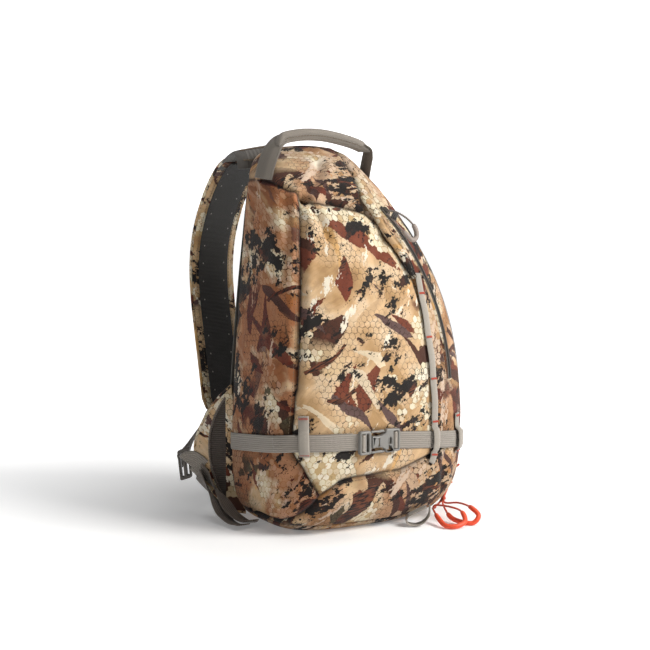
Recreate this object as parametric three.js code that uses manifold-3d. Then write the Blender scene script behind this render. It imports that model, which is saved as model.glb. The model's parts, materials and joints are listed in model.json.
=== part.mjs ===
// Sling bag: a stuffed teardrop body of sewn panels, one wide padded shoulder strap, a haul handle,
// a compression strap with a side-release buckle, and zips with cord pulls.
// Millimetres. +Z up, the front faces -Y, the shoulder strap hangs behind the back at +Y.
// The origin is the centre of the flat base.
import * as THREE from "three";
import { ParametricGeometry } from "three/addons/geometries/ParametricGeometry.js";
import { mergeVertices } from "three/addons/utils/BufferGeometryUtils.js";
import Module from "manifold-3d";

const wasm = await Module();
wasm.setup();

// ---- driving dimensions ----
const GAP = 0.3; // between pieces that touch
const HEIGHT = 457; // body without the handle
const BACK = 80; // plane of the open back of the shell
const FABRIC = 3.5; // padded face fabric and lining together
const WEBBING = 1.8;
const STRAP_WIDTH = 20;
const STRAP_HEIGHT = 116; // compression strap, at its highest
const STRAP_CREST = -95; // where along X it is highest
const LIFT = 1.4; // webbing above the curved cloth
const BASE_SEAM = 9; // height of the seam round the base
const DEEPEST = 0.62; // share of the depth, from the front, at which the body is widest
const CORNER_LEFT = 3.5; // squareness of the front left corner
const CORNER_RIGHT = 2.6;
const CORNER_BACK = 7;
const AROUND = 40;

// Outline of the body at each height: its left, right and front limits.
const STATIONS = [
  { z: 0, left: -104, right: 98, front: -48 },
  { z: 12, left: -119, right: 118, front: -70 },
  { z: 40, left: -131, right: 136, front: -88 },
  { z: 80, left: -134, right: 145, front: -94 },
  { z: 110, left: -134, right: 147, front: -94 },
  { z: 180, left: -130, right: 142, front: -90 },
  { z: 240, left: -125, right: 133, front: -80 },
  { z: 300, left: -119, right: 114, front: -66 },
  { z: 350, left: -113, right: 89, front: -48 },
  { z: 400, left: -107, right: 57, front: -22 },
  { z: 430, left: -101, right: 34, front: 0 },
  { z: 448, left: -90, right: 20, front: 20 },
  { z: 457, left: -70, right: 4, front: 36 },
];
const RINGS = [
  0, 4, 12, 24, 40, 60, 80, 110, 150, 190, 230, 265, 300, 330, 360, 385, 405, 420, 435, 448, 457,
];

const v = (x, y, z) => new THREE.Vector3(x, y, z);
const X = v(1, 0, 0);
const Y = v(0, 1, 0);
const Z = v(0, 0, 1);
const radians = THREE.MathUtils.degToRad;

// ---- the body's surface ----
function slope(i, key) {
  const a = STATIONS[Math.max(i - 1, 0)];
  const b = STATIONS[Math.min(i + 1, STATIONS.length - 1)];
  return (b[key] - a[key]) / (b.z - a.z);
}

function limit(z, key) {
  let i = 0;
  while (i < STATIONS.length - 2 && z > STATIONS[i + 1].z) i += 1;
  const [a, b] = [STATIONS[i], STATIONS[i + 1]];
  const h = b.z - a.z;
  const t = (z - a.z) / h;
  const rise = 3 * t * t - 2 * t * t * t;
  const start = (t - 2 * t * t + t * t * t) * h * slope(i, key);
  const end = (t * t * t - t * t) * h * slope(i + 1, key);
  return a[key] + (b[key] - a[key]) * rise + start + end;
}

function outline(z, inset = 0, back = BACK) {
  const left = limit(z, "left") + inset;
  const right = limit(z, "right") - inset;
  const front = limit(z, "front") + inset;
  return {
    middle: (left + right) / 2,
    half: (right - left) / 2,
    widest: front + DEEPEST * (back - front),
    front,
    back,
  };
}

// A point of the body's outline at one height; angle 0 is the right, a quarter turn the back.
function around(z, angle, inset = 0, back = BACK) {
  const o = outline(z, inset, back);
  const [c, s] = [Math.cos(angle), Math.sin(angle)];
  const square = s > 0 ? CORNER_BACK : c < 0 ? CORNER_LEFT : CORNER_RIGHT;
  const reach = s > 0 ? o.back - o.widest : o.widest - o.front;
  const across = Math.sign(c) * Math.abs(c) ** (2 / square);
  return v(o.middle + o.half * across, o.widest + Math.sign(s) * reach * Math.abs(s) ** (2 / square), z);
}

// Outward direction of the outline at one height.
function outward(z, angle) {
  const step = 0.02;
  const along = around(z, angle + step).sub(around(z, angle - step));
  return v(along.y, -along.x, 0).normalize();
}

function frontY(x, z) {
  const o = outline(z);
  const share = Math.min(Math.abs(x - o.middle) / o.half, 0.995);
  const square = x < o.middle ? CORNER_LEFT : CORNER_RIGHT;
  return o.widest - (o.widest - o.front) * (1 - share ** square) ** (1 / square);
}

function frontNormal(x, z) {
  const step = 3;
  const slopeX = (frontY(x + step, z) - frontY(x - step, z)) / (2 * step);
  const slopeZ = (frontY(x, z + step) - frontY(x, z - step)) / (2 * step);
  return v(slopeX, -1, slopeZ).normalize();
}

function onFront(x, z, out = 0) {
  return v(x, frontY(x, z), z).addScaledVector(frontNormal(x, z), out);
}

// ---- solids ----
function toSolid(geometry) {
  const bare = geometry.index ? geometry.toNonIndexed() : geometry.clone();
  bare.deleteAttribute("normal");
  bare.deleteAttribute("uv");
  const merged = mergeVertices(bare, 1e-4);
  const corners = merged.index.array;
  const kept = [];
  for (let i = 0; i < corners.length; i += 3) {
    const [a, b, c] = [corners[i], corners[i + 1], corners[i + 2]];
    if (a !== b && b !== c && a !== c) kept.push(a, b, c);
  }
  const build = (triangles) =>
    new wasm.Manifold(
      new wasm.Mesh({
        numProp: 3,
        vertProperties: Float32Array.from(merged.getAttribute("position").array),
        triVerts: Uint32Array.from(triangles),
      }),
    );
  const solid = build(kept);
  return solid.volume() > 0 ? solid : build(kept.reverse());
}

function toGeometry(solid) {
  const mesh = solid.getMesh();
  const geometry = new THREE.BufferGeometry();
  geometry.setAttribute("position", new THREE.BufferAttribute(mesh.vertProperties, mesh.numProp));
  geometry.setIndex(new THREE.BufferAttribute(mesh.triVerts, 1));
  const flat = geometry.toNonIndexed();
  flat.computeVertexNormals();
  return flat;
}

// A closed body whose rings are pointAt(turn, along), both from 0 to 1.
function loft(pointAt, sides, steps) {
  const rows = steps + 2;
  const centre = (along) => {
    const sum = v(0, 0, 0);
    for (let k = 0; k < sides; k += 1) sum.add(pointAt(k / sides, along));
    return sum.divideScalar(sides);
  };
  const ends = [centre(0), centre(1)];
  const place = (turn, share, target) => {
    const row = Math.round(share * rows);
    if (row === 0 || row === rows) return target.copy(ends[row === 0 ? 0 : 1]);
    return target.copy(pointAt(Math.round(turn * sides) % sides / sides, (row - 1) / steps));
  };
  return toSolid(new ParametricGeometry(place, sides, rows));
}

// Flat webbing: at(t) gives its middle line, its width's direction and its upper side's.
function band(at, width, thickness, steps) {
  const pointAt = (turn, along) => {
    const place = at(along);
    const corner = Math.round(turn * 4);
    const side = corner === 1 || corner === 2 ? 0.5 : -0.5;
    return place.point
      .clone()
      .addScaledVector(place.across, side * width)
      .addScaledVector(place.up, corner >= 2 ? thickness : 0);
  };
  return loft(pointAt, 4, steps);
}

// Webbing through points, with a fixed width direction; its upper side is to the left of its run.
function ribbon(points, across, width, thickness, steps) {
  const curve = new THREE.CatmullRomCurve3(points, false, "centripetal");
  const at = (t) => ({
    point: curve.getPointAt(t),
    across,
    up: across.clone().cross(curve.getTangentAt(t)).normalize(),
  });
  return band(at, width, thickness, steps);
}

function tube(points, diameter, steps, sides = 8) {
  const section = new THREE.Shape();
  for (let k = 0; k < sides; k += 1) {
    const angle = (k / sides) * 2 * Math.PI;
    section[k ? "lineTo" : "moveTo"]((Math.cos(angle) * diameter) / 2, (Math.sin(angle) * diameter) / 2);
  }
  const extrudePath = new THREE.CatmullRomCurve3(points, false, "centripetal");
  return toSolid(new THREE.ExtrudeGeometry(section, { steps, extrudePath, bevelEnabled: false }));
}

function block(x0, x1, y0, y1, z0, z1) {
  const box = new THREE.BoxGeometry(x1 - x0, y1 - y0, z1 - z0);
  return toSolid(box.translate((x0 + x1) / 2, (y0 + y1) / 2, (z0 + z1) / 2));
}

// An outline in x and z, as thick as from y0 to y1.
function slab(points, y0, y1, holes = []) {
  const wound = (corners, clockwise) => {
    const flat = corners.map(([x, z]) => new THREE.Vector2(x, z));
    return THREE.ShapeUtils.isClockWise(flat) === clockwise ? flat : flat.reverse();
  };
  const shape = new THREE.Shape(wound(points, false));
  for (const hole of holes) shape.holes.push(new THREE.Path(wound(hole, true)));
  const geometry = new THREE.ExtrudeGeometry(shape, { depth: y1 - y0, bevelEnabled: false });
  return toSolid(geometry.rotateX(Math.PI / 2).translate(0, y1, 0));
}

// ---- scene ----
const PAINTS = {
  camo: { color: 0xb39a74, roughness: 0.85, metalness: 0 },
  lining: { color: 0x4a463f, roughness: 0.9, metalness: 0 },
  foam: { color: 0x2b2825, roughness: 0.95, metalness: 0 },
  sheet: { color: 0x232323, roughness: 0.6, metalness: 0 },
  webbing: { color: 0x8d857c, roughness: 0.8, metalness: 0 },
  plastic: { color: 0x9a9a96, roughness: 0.5, metalness: 0 },
  dark_plastic: { color: 0x4a463f, roughness: 0.5, metalness: 0 },
  zip: { color: 0x3a352f, roughness: 0.6, metalness: 0 },
  metal: { color: 0x5c5751, roughness: 0.4, metalness: 0.8 },
  cord: { color: 0xd9502f, roughness: 0.6, metalness: 0 },
  grey_cord: { color: 0x7d7069, roughness: 0.6, metalness: 0 },
};
const bag = new THREE.Group();

function add(name, solid, paint) {
  const mesh = new THREE.Mesh(toGeometry(solid), new THREE.MeshStandardMaterial(PAINTS[paint]));
  mesh.name = name;
  bag.add(mesh);
  return mesh;
}

// ---- sewn body panels ----
function body(inset, back, low, high) {
  const rings = RINGS.filter((z) => z > low && z < high);
  const heights = [low, ...rings, high];
  const steps = heights.length - 1;
  const heightAt = (along) => heights[Math.round(along * steps)];
  const pointAt = (turn, along) => around(heightAt(along), turn * 2 * Math.PI, inset, back);
  return loft(pointAt, AROUND, steps);
}

const OPEN_BACK = BACK + 45;
const grown = body(-GAP, BACK + GAP, 0, HEIGHT);
const shell = body(0, BACK, 0, HEIGHT).subtract(body(FABRIC, OPEN_BACK, FABRIC, HEIGHT - 2 * FABRIC));

// Seams as lines in front view, [x, z].
const SIDE_SEAM = [
  [-90, 52], [-100, 68], [-112, 90], [-119, 105], [-118, 130],
  [-113, 180], [-104, 259], [-93, 340], [-80, 403],
];
const SHOULDER_SEAM = [[-80, 403], [-92, 409], [-104, 420], [-220, 440]];
const YOKE_SEAM = [[-80, 403], [-66, 393], [-43, 392], [-17, 386], [3, 380]];
const ZIP_SEAM = [
  [3, 380], [18, 366], [28, 344], [51, 308], [62, 268], [67, 220], [69, 154], [72, 117], [62, 88],
];
const BOOT_LEFT = [[-90, 52], [-104, 28], [-116, 15], [-220, 12]];
const BOOT_MIDDLE = [[-90, 52], [-67, 68], [-47, 72], [15, 74], [62, 88]];
const BOOT_RIGHT = [[62, 88], [97, 98], [130, 104], [220, 106]];
const CROWN_SEAM = [[3, 380], [6, 420], [0, 520]];

const FAR = 150; // beyond the body, along Y
const WIDE = 220; // beyond the body, along X

// A thin upright blade along a seam, which leaves the gap between two panels.
function blade(seam) {
  const sideOf = (sign) =>
    seam.map(([x, z], i) => {
      const [ax, az] = seam[Math.max(i - 1, 0)];
      const [bx, bz] = seam[Math.min(i + 1, seam.length - 1)];
      const length = Math.hypot(bx - ax, bz - az);
      return [x - (sign * GAP * (bz - az)) / length / 2, z + (sign * GAP * (bx - ax)) / length / 2];
    });
  return slab([...sideOf(1), ...sideOf(-1).reverse()], -FAR, FAR);
}

const seams = [SIDE_SEAM, SHOULDER_SEAM, YOKE_SEAM, ZIP_SEAM, BOOT_LEFT, BOOT_MIDDLE, BOOT_RIGHT, CROWN_SEAM];
const baseCut = block(-WIDE, WIDE, -FAR, FAR, BASE_SEAM - GAP / 2, BASE_SEAM + GAP / 2);
const cut = seams.reduce((solid, seam) => solid.subtract(blade(seam)), shell).subtract(baseCut);
const down = (seam) => [...seam].reverse();
const regions = {
  left_side_panel: [...SIDE_SEAM, ...SHOULDER_SEAM.slice(1), ...down(BOOT_LEFT)],
  top_panel: [...down(SHOULDER_SEAM), ...YOKE_SEAM.slice(1), ...CROWN_SEAM.slice(1), [-220, 520]],
  front_panel: [...SIDE_SEAM, ...YOKE_SEAM.slice(1), ...ZIP_SEAM.slice(1), ...down(BOOT_MIDDLE).slice(1, -1)],
  right_side_panel: [...down(CROWN_SEAM), ...ZIP_SEAM.slice(1), ...BOOT_RIGHT.slice(1), [220, 520]],
};
const lowerLine = [...down(BOOT_LEFT), ...BOOT_MIDDLE.slice(1), ...BOOT_RIGHT.slice(1)];
const largest = (solid) => solid.decompose().sort((a, b) => b.volume() - a.volume())[0];
for (const [name, region] of Object.entries(regions)) {
  add(name, largest(cut.intersect(slab(region, -FAR, FAR))), "camo");
}
const boot = cut.intersect(slab([[-WIDE, BASE_SEAM], ...lowerLine, [WIDE, BASE_SEAM]], -FAR, FAR));
add("lower_front_panel", largest(boot), "camo");
add("base_panel", largest(cut.intersect(block(-WIDE, WIDE, -FAR, FAR, -1, BASE_SEAM))), "camo");

// ---- back, padding and insides ----
// A plate across the body, inset from its outline.
function backPlate(inset, low, high, y0, y1) {
  const steps = 9;
  const heights = Array.from({ length: steps + 1 }, (_, i) => low + ((high - low) * i) / steps);
  const left = heights.map((z) => [limit(z, "left") + inset, z]);
  const right = heights.map((z) => [limit(z, "right") - inset, z]);
  return slab([...right, ...left.reverse()], y0, y1);
}

add("back_panel", backPlate(6, 4, HEIGHT - 5, BACK + GAP, BACK + 4), "lining");
add("back_foam", backPlate(12, 12, HEIGHT - 20, 73, BACK - GAP), "foam");
add("frame_sheet", backPlate(16, 20, HEIGHT - 32, 69.4, 72.4), "sheet");
const SLEEVE_LOW = 26;
const SLEEVE_HIGH = 300;
const sleeve = backPlate(24, SLEEVE_LOW, SLEEVE_HIGH, 52, 69);
const sleeveHollow = backPlate(26, SLEEVE_LOW + 2, SLEEVE_HIGH + 20, 54, 67);
add("inner_sleeve", sleeve.subtract(sleeveHollow), "lining");
const divider = add("pocket_divider", backPlate(42, 40, 330, -1, 1), "lining");
divider.position.y = -58;
divider.rotation.x = radians(-9);

const PAD_TOP = BACK + 4 + GAP;
const PAD_DEPTH = 9;
function backPad(x0, x1, z0, z1) {
  const corner = 22;
  const shape = new THREE.Shape();
  shape.moveTo(x0 + corner, z0);
  shape.lineTo(x1 - corner, z0);
  shape.quadraticCurveTo(x1, z0, x1, z0 + corner);
  shape.lineTo(x1, z1 - corner);
  shape.quadraticCurveTo(x1, z1, x1 - corner, z1);
  shape.lineTo(x0 + corner, z1);
  shape.quadraticCurveTo(x0, z1, x0, z1 - corner);
  shape.lineTo(x0, z0 + corner);
  shape.quadraticCurveTo(x0, z0, x0 + corner, z0);
  const flat = new THREE.ExtrudeGeometry(shape, { depth: PAD_DEPTH, bevelEnabled: false, curveSegments: 4 });
  return toSolid(flat.rotateX(Math.PI / 2).translate(0, PAD_TOP + PAD_DEPTH, 0));
}
add("back_pad_left", backPad(-104, -12, 210, 380), "foam");
add("back_pad_right", backPad(-2, 66, 210, 380), "foam");
add("lumbar_pad", backPad(-104, 108, 40, 190), "foam");

// ---- compression strap ----
const BUCKLE_LEFT = -47;
const BUCKLE_RIGHT = 9;
const SLIDE_OUT = 25;
const STRAP_START = 163; // angles at which the strap is sewn down on the left and on the right
const STRAP_END = 330;
const LEFT_FALL = 0.13; // how steeply it falls to the back on the left side

// Height of the strap's middle line.
function strapHeight(x, y = -90) {
  const behind = x < STRAP_CREST ? Math.max(y + 70, 0) : 0;
  return STRAP_HEIGHT - 12 * ((x - STRAP_CREST) / 178) ** 2 - LEFT_FALL * behind;
}

function strapAround(from, to, steps) {
  const at = (t) => {
    const angle = from + (to - from) * t;
    const level = around(STRAP_HEIGHT, angle);
    const z = strapHeight(level.x, level.y);
    const up = outward(z, angle);
    return { point: around(z, angle).addScaledVector(up, LIFT), across: Z, up };
  };
  return band(at, STRAP_WIDTH, WEBBING, steps);
}
// Angle of the outline at which the front has this x.
function angleAt(x) {
  let [low, high] = [Math.PI, 2 * Math.PI];
  for (let i = 0; i < 40; i += 1) {
    const middle = (low + high) / 2;
    if (around(STRAP_HEIGHT, middle).x < x) low = middle;
    else high = middle;
  }
  return low;
}
const leftEnd = angleAt(BUCKLE_LEFT - SLIDE_OUT - 2);
add("compression_strap_left", strapAround(radians(STRAP_START), leftEnd, 22), "webbing");
add("compression_strap_right", strapAround(angleAt(BUCKLE_RIGHT + 2), radians(STRAP_END), 20), "webbing");

// A short upright webbing piece over the compression strap.
function bridge(x, low, high, width, clear) {
  const middle = strapHeight(x);
  const half = STRAP_WIDTH / 2;
  const [under, over] = [middle - half, middle + half];
  const stops = [low, under - 4, under - 1, middle, over + 1, over + 5, high];
  const heights = [LIFT, LIFT, clear, clear, clear, LIFT, LIFT];
  const at = (t) => {
    const i = Math.round(t * (stops.length - 1));
    const up = frontNormal(x, stops[i]);
    return { point: onFront(x, stops[i], heights[i]), across: up.clone().cross(Z).normalize(), up };
  };
  return band(at, width, WEBBING, stops.length - 1);
}
const OVER_STRAP = LIFT + WEBBING + 0.6;
const KEEPER_WIDTH = 12;
add("strap_keeper_left", bridge(-107, 99, 149, KEEPER_WIDTH, OVER_STRAP + 2), "webbing");
add("strap_keeper_right", bridge(111, 82, 133, KEEPER_WIDTH, OVER_STRAP + 2), "webbing");

// ---- daisy chain ----
const DAISY = [
  [60, 78], [63, 84], [64, 91], [65, 106], [65, 121], [65.5, 128], [65, 186], [63, 236], [60, 285], [60, 306],
];
const DAISY_WIDTH = 10;
function daisyPoint(i) {
  const [x, z] = DAISY[i];
  const over = Math.abs(z - strapHeight(x)) < STRAP_WIDTH / 2 + 6;
  return onFront(x, z, over ? OVER_STRAP + 1.2 : LIFT + 0.6);
}
const daisyCurve = new THREE.CatmullRomCurve3(DAISY.map((_, i) => daisyPoint(i)), false, "centripetal");
const daisyAt = (t) => {
  const point = daisyCurve.getPointAt(t);
  const up = frontNormal(point.x, point.z);
  return { point, across: daisyCurve.getTangentAt(t).cross(up).normalize(), up };
};
add("daisy_chain", band(daisyAt, DAISY_WIDTH, WEBBING, 34), "webbing");

// ---- side-release buckle: the male half and its webbing are on the left ----
const BUCKLE_Z = strapHeight(-19);
const BUCKLE_HALF = 14.4;
const BUCKLE_BACK = frontY(-19, BUCKLE_Z) - 1.5;
const BUCKLE_THICK = 8;
const MALE_FRAME = 16; // length of the male half's webbing frame
const WAIST = 8; // half height of the female half between the prongs
const PRONG = { inner: 10.4, outer: 13.9, tip: -12 };
const SLOT_HALF = STRAP_WIDTH / 2 + 0.6;
const inBuckle = (x0, x1, z0, z1, deep = 0) =>
  block(x0, x1, BUCKLE_BACK - BUCKLE_THICK + deep, BUCKLE_BACK - deep, BUCKLE_Z + z0, BUCKLE_Z + z1);
const webbingSlot = (x0, x1) => inBuckle(x0, x1, -SLOT_HALF, SLOT_HALF, -1);
const maleEnd = BUCKLE_LEFT + MALE_FRAME;
const male = inBuckle(BUCKLE_LEFT, maleEnd, -BUCKLE_HALF, BUCKLE_HALF)
  .subtract(webbingSlot(BUCKLE_LEFT + 2.5, BUCKLE_LEFT + 5))
  .subtract(webbingSlot(BUCKLE_LEFT + 9.5, BUCKLE_LEFT + 13));
add("buckle_male", male, "plastic");
const prong = (low, high) => inBuckle(maleEnd + GAP, PRONG.tip, low, high, 2);
add("buckle_prong_upper", prong(PRONG.inner, PRONG.outer), "plastic");
add("buckle_prong_lower", prong(-PRONG.outer, -PRONG.inner), "plastic");
const catchFace = PRONG.tip + 1;
const female = inBuckle(catchFace, BUCKLE_RIGHT, -BUCKLE_HALF, BUCKLE_HALF)
  .add(inBuckle(maleEnd + 1, catchFace + 1, -WAIST, WAIST))
  .subtract(inBuckle(maleEnd, maleEnd + 8, -5, 5, -1))
  .subtract(inBuckle(catchFace + 7, catchFace + 9, -6, 6, -1))
  .subtract(webbingSlot(BUCKLE_RIGHT - 7, BUCKLE_RIGHT - 3));
add("buckle_female", female, "plastic");

// ---- zips: each slider runs on a flat arc beside the cloth ----
// The arc through three points as places at shares of its length, with its upper side turned as
// near to the cloth's as a tilt about its own line allows.
function arcThrough(a, b, c, face) {
  const [ab, ac] = [b.clone().sub(a), c.clone().sub(a)];
  const axis = ab.clone().cross(ac).normalize();
  const double = ab.clone().cross(ac).lengthSq() * 2;
  const toCentre = ab.clone().cross(ac).cross(ab).multiplyScalar(ac.lengthSq());
  toCentre.add(ac.clone().cross(ab.clone().cross(ac)).multiplyScalar(ab.lengthSq())).divideScalar(double);
  const centre = a.clone().add(toCentre);
  const radius = toCentre.length();
  const start = a.clone().sub(centre).normalize();
  const side = axis.clone().cross(start);
  const end = c.clone().sub(centre).normalize();
  const sweep = Math.atan2(end.dot(side), end.dot(start));
  const radialAt = (t) => {
    const turned = side.clone().multiplyScalar(Math.sin(t * sweep));
    return turned.addScaledVector(start, Math.cos(t * sweep));
  };
  const tilt = Math.atan2(face.dot(axis), face.dot(radialAt(0.5)));
  return (t, lift = 0) => {
    const radial = radialAt(t);
    const up = radial.clone().multiplyScalar(Math.cos(tilt)).addScaledVector(axis, Math.sin(tilt));
    const tangent = axis.clone().cross(radial).multiplyScalar(Math.sign(sweep));
    const point = centre.clone().addScaledVector(radial, radius).addScaledVector(up, lift);
    return { point, up, tangent, across: tangent.clone().cross(up) };
  };
}

const ZIP_WIDTH = 8;
const TRACK_ROOT = 14;
function track(arc, steps) {
  const deep = band((t) => arc(t, -TRACK_ROOT), ZIP_WIDTH, TRACK_ROOT, steps);
  return largest(deep.subtract(grown));
}

const PROUD = 3; // middle of each zip above the cloth
const frontArc = arcThrough(
  onFront(26, 386, PROUD),
  onFront(66, 318, PROUD),
  onFront(96, 176, PROUD),
  frontNormal(66, 318),
);
function sidePoint(z, degrees, out) {
  const angle = radians(degrees);
  return around(z, angle).addScaledVector(outward(z, angle), out);
}
const mainArc = arcThrough(
  onFront(46, 380, PROUD + 1),
  sidePoint(180, 340, PROUD + 1),
  sidePoint(30, 344, PROUD + 1),
  outward(180, radians(340)),
);
add("front_zip_track", track(frontArc, 18), "zip");
add("main_zip_track", track(mainArc, 30), "zip");

const SLIDER = { long: 14, wide: 9, high: 4, clear: 0.9 };
function slider(arc, t) {
  const { point, up, tangent, across } = arc(t, SLIDER.clear);
  const box = new THREE.BoxGeometry(SLIDER.long, SLIDER.wide, SLIDER.high);
  const frame = new THREE.Matrix4().makeBasis(tangent, across, up.clone());
  frame.setPosition(point.clone().addScaledVector(up, SLIDER.high / 2));
  return toSolid(box.applyMatrix4(frame));
}
const SLIDER_SPOTS = { front: 0.04, first: 0.905, second: 0.965 };
add("front_slider", slider(frontArc, SLIDER_SPOTS.front), "metal");
add("main_slider_first", slider(mainArc, SLIDER_SPOTS.first), "metal");
add("main_slider_second", slider(mainArc, SLIDER_SPOTS.second), "metal");

// ---- haul handle: a hinge line runs through its two feet ----
const HANDLE_Y = 27;
const HANDLE_WEB = 25;
const leftFoot = v(-107.5, HANDLE_Y, 424);
const rightFoot = v(48.5, HANDLE_Y, 421);
const leftTop = v(-93, HANDLE_Y, 470);
const rightTop = v(41, HANDLE_Y, 457);
const GRIP = 13;
function leg(foot, top) {
  const middle = foot.clone().lerp(top, 0.5).add(v(0, 0, 1));
  return ribbon([foot, middle, top], Y, HANDLE_WEB, WEBBING, 4);
}
add("handle_leg_left", leg(leftFoot, leftTop), "webbing");
add("handle_leg_right", leg(rightFoot, rightTop), "webbing");
const GRIP_LINE = [[-87, 473], [-60, 477], [-25, 477], [10, 470], [36, 459]];
const gripLine = GRIP_LINE.map(([x, z]) => v(x, HANDLE_Y, z));
add("handle_grip", tube(gripLine, GRIP, 12, 10), "webbing");

// ---- shoulder strap: its bow hangs behind the back ----
const STRAP_X = -80;
const PAD_WIDTH = 62;
const PAD_THICK = 8;
const LINER_WIDTH = 42;
const LINER_THICK = 2.5;
const YOKE_LINE = [[88.5, 428], [94, 445], [108, 449], [116, 447]];
const PAD_LINE = [
  [124, 437], [147, 422], [172, 399], [195, 369], [212, 336],
  [219, 300], [216, 262], [207, 222], [197, 182], [188, 140],
];
const strapPoint = ([y, z]) => v(STRAP_X, y, z);
const padCurve = new THREE.CatmullRomCurve3(PAD_LINE.map(strapPoint), false, "centripetal");
const padAt = (lift) => (t) => {
  const up = X.clone().cross(padCurve.getTangentAt(t)).normalize();
  return { point: padCurve.getPointAt(t).addScaledVector(up, lift), across: X, up };
};
add("strap_pad", band(padAt(LINER_THICK + GAP), PAD_WIDTH, PAD_THICK, 16), "camo");
add("strap_liner", band(padAt(0), LINER_WIDTH, LINER_THICK, 16), "foam");
add("strap_yoke", ribbon(YOKE_LINE.map(strapPoint), X, PAD_WIDTH, 4, 6), "lining");

// ---- side wing, its mesh, and the ladder lock that the strap's webbing runs through ----
const WING_TURN = Math.atan2(0.66, -0.75);
const WING_ROOT = v(-136, 84, 0);
const WING_THICK = 4;
const WING_OUTLINE = [
  [0, 154], [14, 134], [26, 112], [33, 92], [33, 76], [29, 58], [22, 40], [12, 28], [0, 22],
];
const LENS = [[3, 140], [13, 119], [21, 97], [20, 76], [15, 54], [7, 36], [3, 60], [2.5, 100]];
const LENS_HOLE = [
  [2.4, 143], [13.6, 119.6], [21.8, 97], [20.7, 75.6], [15.6, 53.4], [7, 33], [2.4, 59], [1.9, 100],
];
const TAB = [[33.8, 86], [40.9, 82], [37.4, 54], [30, 59], [33.7, 76]];
function onWing(mesh) {
  mesh.position.copy(WING_ROOT);
  mesh.rotation.z = WING_TURN;
}
onWing(add("side_wing", slab(WING_OUTLINE, 0, WING_THICK, [LENS_HOLE]), "camo"));
onWing(add("wing_mesh", slab(LENS, 1.2, 2.8), "lining"));
onWing(add("wing_tab", slab(TAB, 1, 1 + WEBBING), "webbing"));
const LOCK = [[41.6, 86], [57, 80], [53, 42], [38.1, 47]];
const LOCK_INNER = [[44, 81], [47, 80], [43.6, 50], [40.8, 51]];
const LOCK_OUTER = [[51, 78.5], [54, 77.5], [50.6, 47.5], [47.6, 48.5]];
onWing(add("ladder_lock", slab(LOCK, -1, 5, [LOCK_INNER, LOCK_OUTER]), "dark_plastic"));

// Webbing with a turning width: points with their width directions.
function turningBand(stops, width, steps) {
  const line = new THREE.CatmullRomCurve3(stops.map((stop) => stop.point), false, "centripetal");
  const widths = new THREE.CatmullRomCurve3(stops.map((stop) => stop.across), false, "centripetal");
  const at = (t) => {
    const tangent = line.getTangent(t);
    const across = widths.getPoint(t).addScaledVector(tangent, -widths.getPoint(t).dot(tangent)).normalize();
    return { point: line.getPoint(t), across, up: across.clone().cross(tangent).normalize() };
  };
  return band(at, width, WEBBING, steps);
}
const lockWidth = v(-0.08, 0.08, 0.99);
const ADJUSTER = 20;
const strapWebbing = [
  { point: v(-82, 188, 132), across: v(1, 0.1, 0) },
  { point: v(-95, 184, 112), across: v(0.9, 0.2, 0.45) },
  { point: v(-130, 168, 92), across: v(0.4, 0.2, 0.9) },
  { point: v(-160, 140, 72), across: lockWidth },
  { point: v(-176, 126, 64), across: lockWidth },
];
add("strap_webbing", turningBand(strapWebbing, ADJUSTER, 16), "webbing");
const tail = [
  { point: v(-163, 99, 52), across: v(-0.2, 0.1, 0.95) },
  { point: v(-160, 88, 42), across: v(-0.3, 0.2, 0.9) },
  { point: v(-156, 66, 26), across: v(-0.7, 0.3, 0.5) },
  { point: v(-152, 44, 7), across: v(-0.95, 0.1, 0.1) },
  { point: v(-149, 24, 2), across: v(-1, 0.1, 0) },
  { point: v(-146, 6, 5), across: v(-1, 0.1, 0) },
];
add("strap_tail", turningBand(tail, ADJUSTER, 16), "webbing");

// ---- loops ----
const bottomLoop = [v(50, -82, 26), v(50, -88, 16), v(50, -87, 5), v(50, -79, 2.4), v(50, -72.5, 4)];
add("bottom_loop", ribbon(bottomLoop, X, 20, WEBBING, 12), "webbing");
const anchorAngle = radians(352);
const anchorOut = outward(160, anchorAngle);
const anchorPoint = (z, out) => around(z, anchorAngle).addScaledVector(anchorOut, out);
const SIDE_LOOP = [[186, 1], [180, 7], [166, 9], [152, 7], [146, 1.4]];
const sideLoop = SIDE_LOOP.map(([z, out]) => anchorPoint(z, out));
add("side_loop", ribbon(sideLoop, v(anchorOut.y, -anchorOut.x, 0), 12, WEBBING, 12), "webbing");

// ---- storm flap roll over the upper part of the front zip ----
const FLAP = [[1, 398], [12, 380], [22, 357], [40, 327], [51, 300]];
const flapLine = FLAP.map(([x, z]) => onFront(x, z, 4.8));
add("storm_flap", tube(flapLine, 8, 12, 8), "camo");

// ---- zip pulls: a cord loop on each slider, in a bored rubber sleeve ----
const PULL_CORD = 2.4;
const SLEEVE = 6;
const BORE = 4.8;
function pull(name, points, sleevePart, paint) {
  const cordSolid = tube(points, PULL_CORD, 32);
  add(`${name}_cord`, cordSolid, paint);
  const curve = new THREE.CatmullRomCurve3(points, false, "centripetal");
  const part = (from, to, steps) =>
    Array.from({ length: steps + 1 }, (_, i) => curve.getPointAt(from + ((to - from) * i) / steps));
  const [from, to] = sleevePart;
  const bore = tube(part(from - 0.04, to + 0.04, 12), BORE, 14, 6);
  add(`${name}_sleeve`, tube(part(from, to, 12), SLEEVE, 14).subtract(bore), paint);
}
const frontPull = [
  v(27, -45, 381), v(31, -50, 376), v(38, -55, 368), v(46, -60, 358), v(50, -64, 348),
  v(45, -65, 343), v(38, -63, 346), v(32, -58, 356), v(27, -52, 367), v(24, -46, 378),
];
pull("front_pull", frontPull, [0.3, 0.72], "grey_cord");
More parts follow.
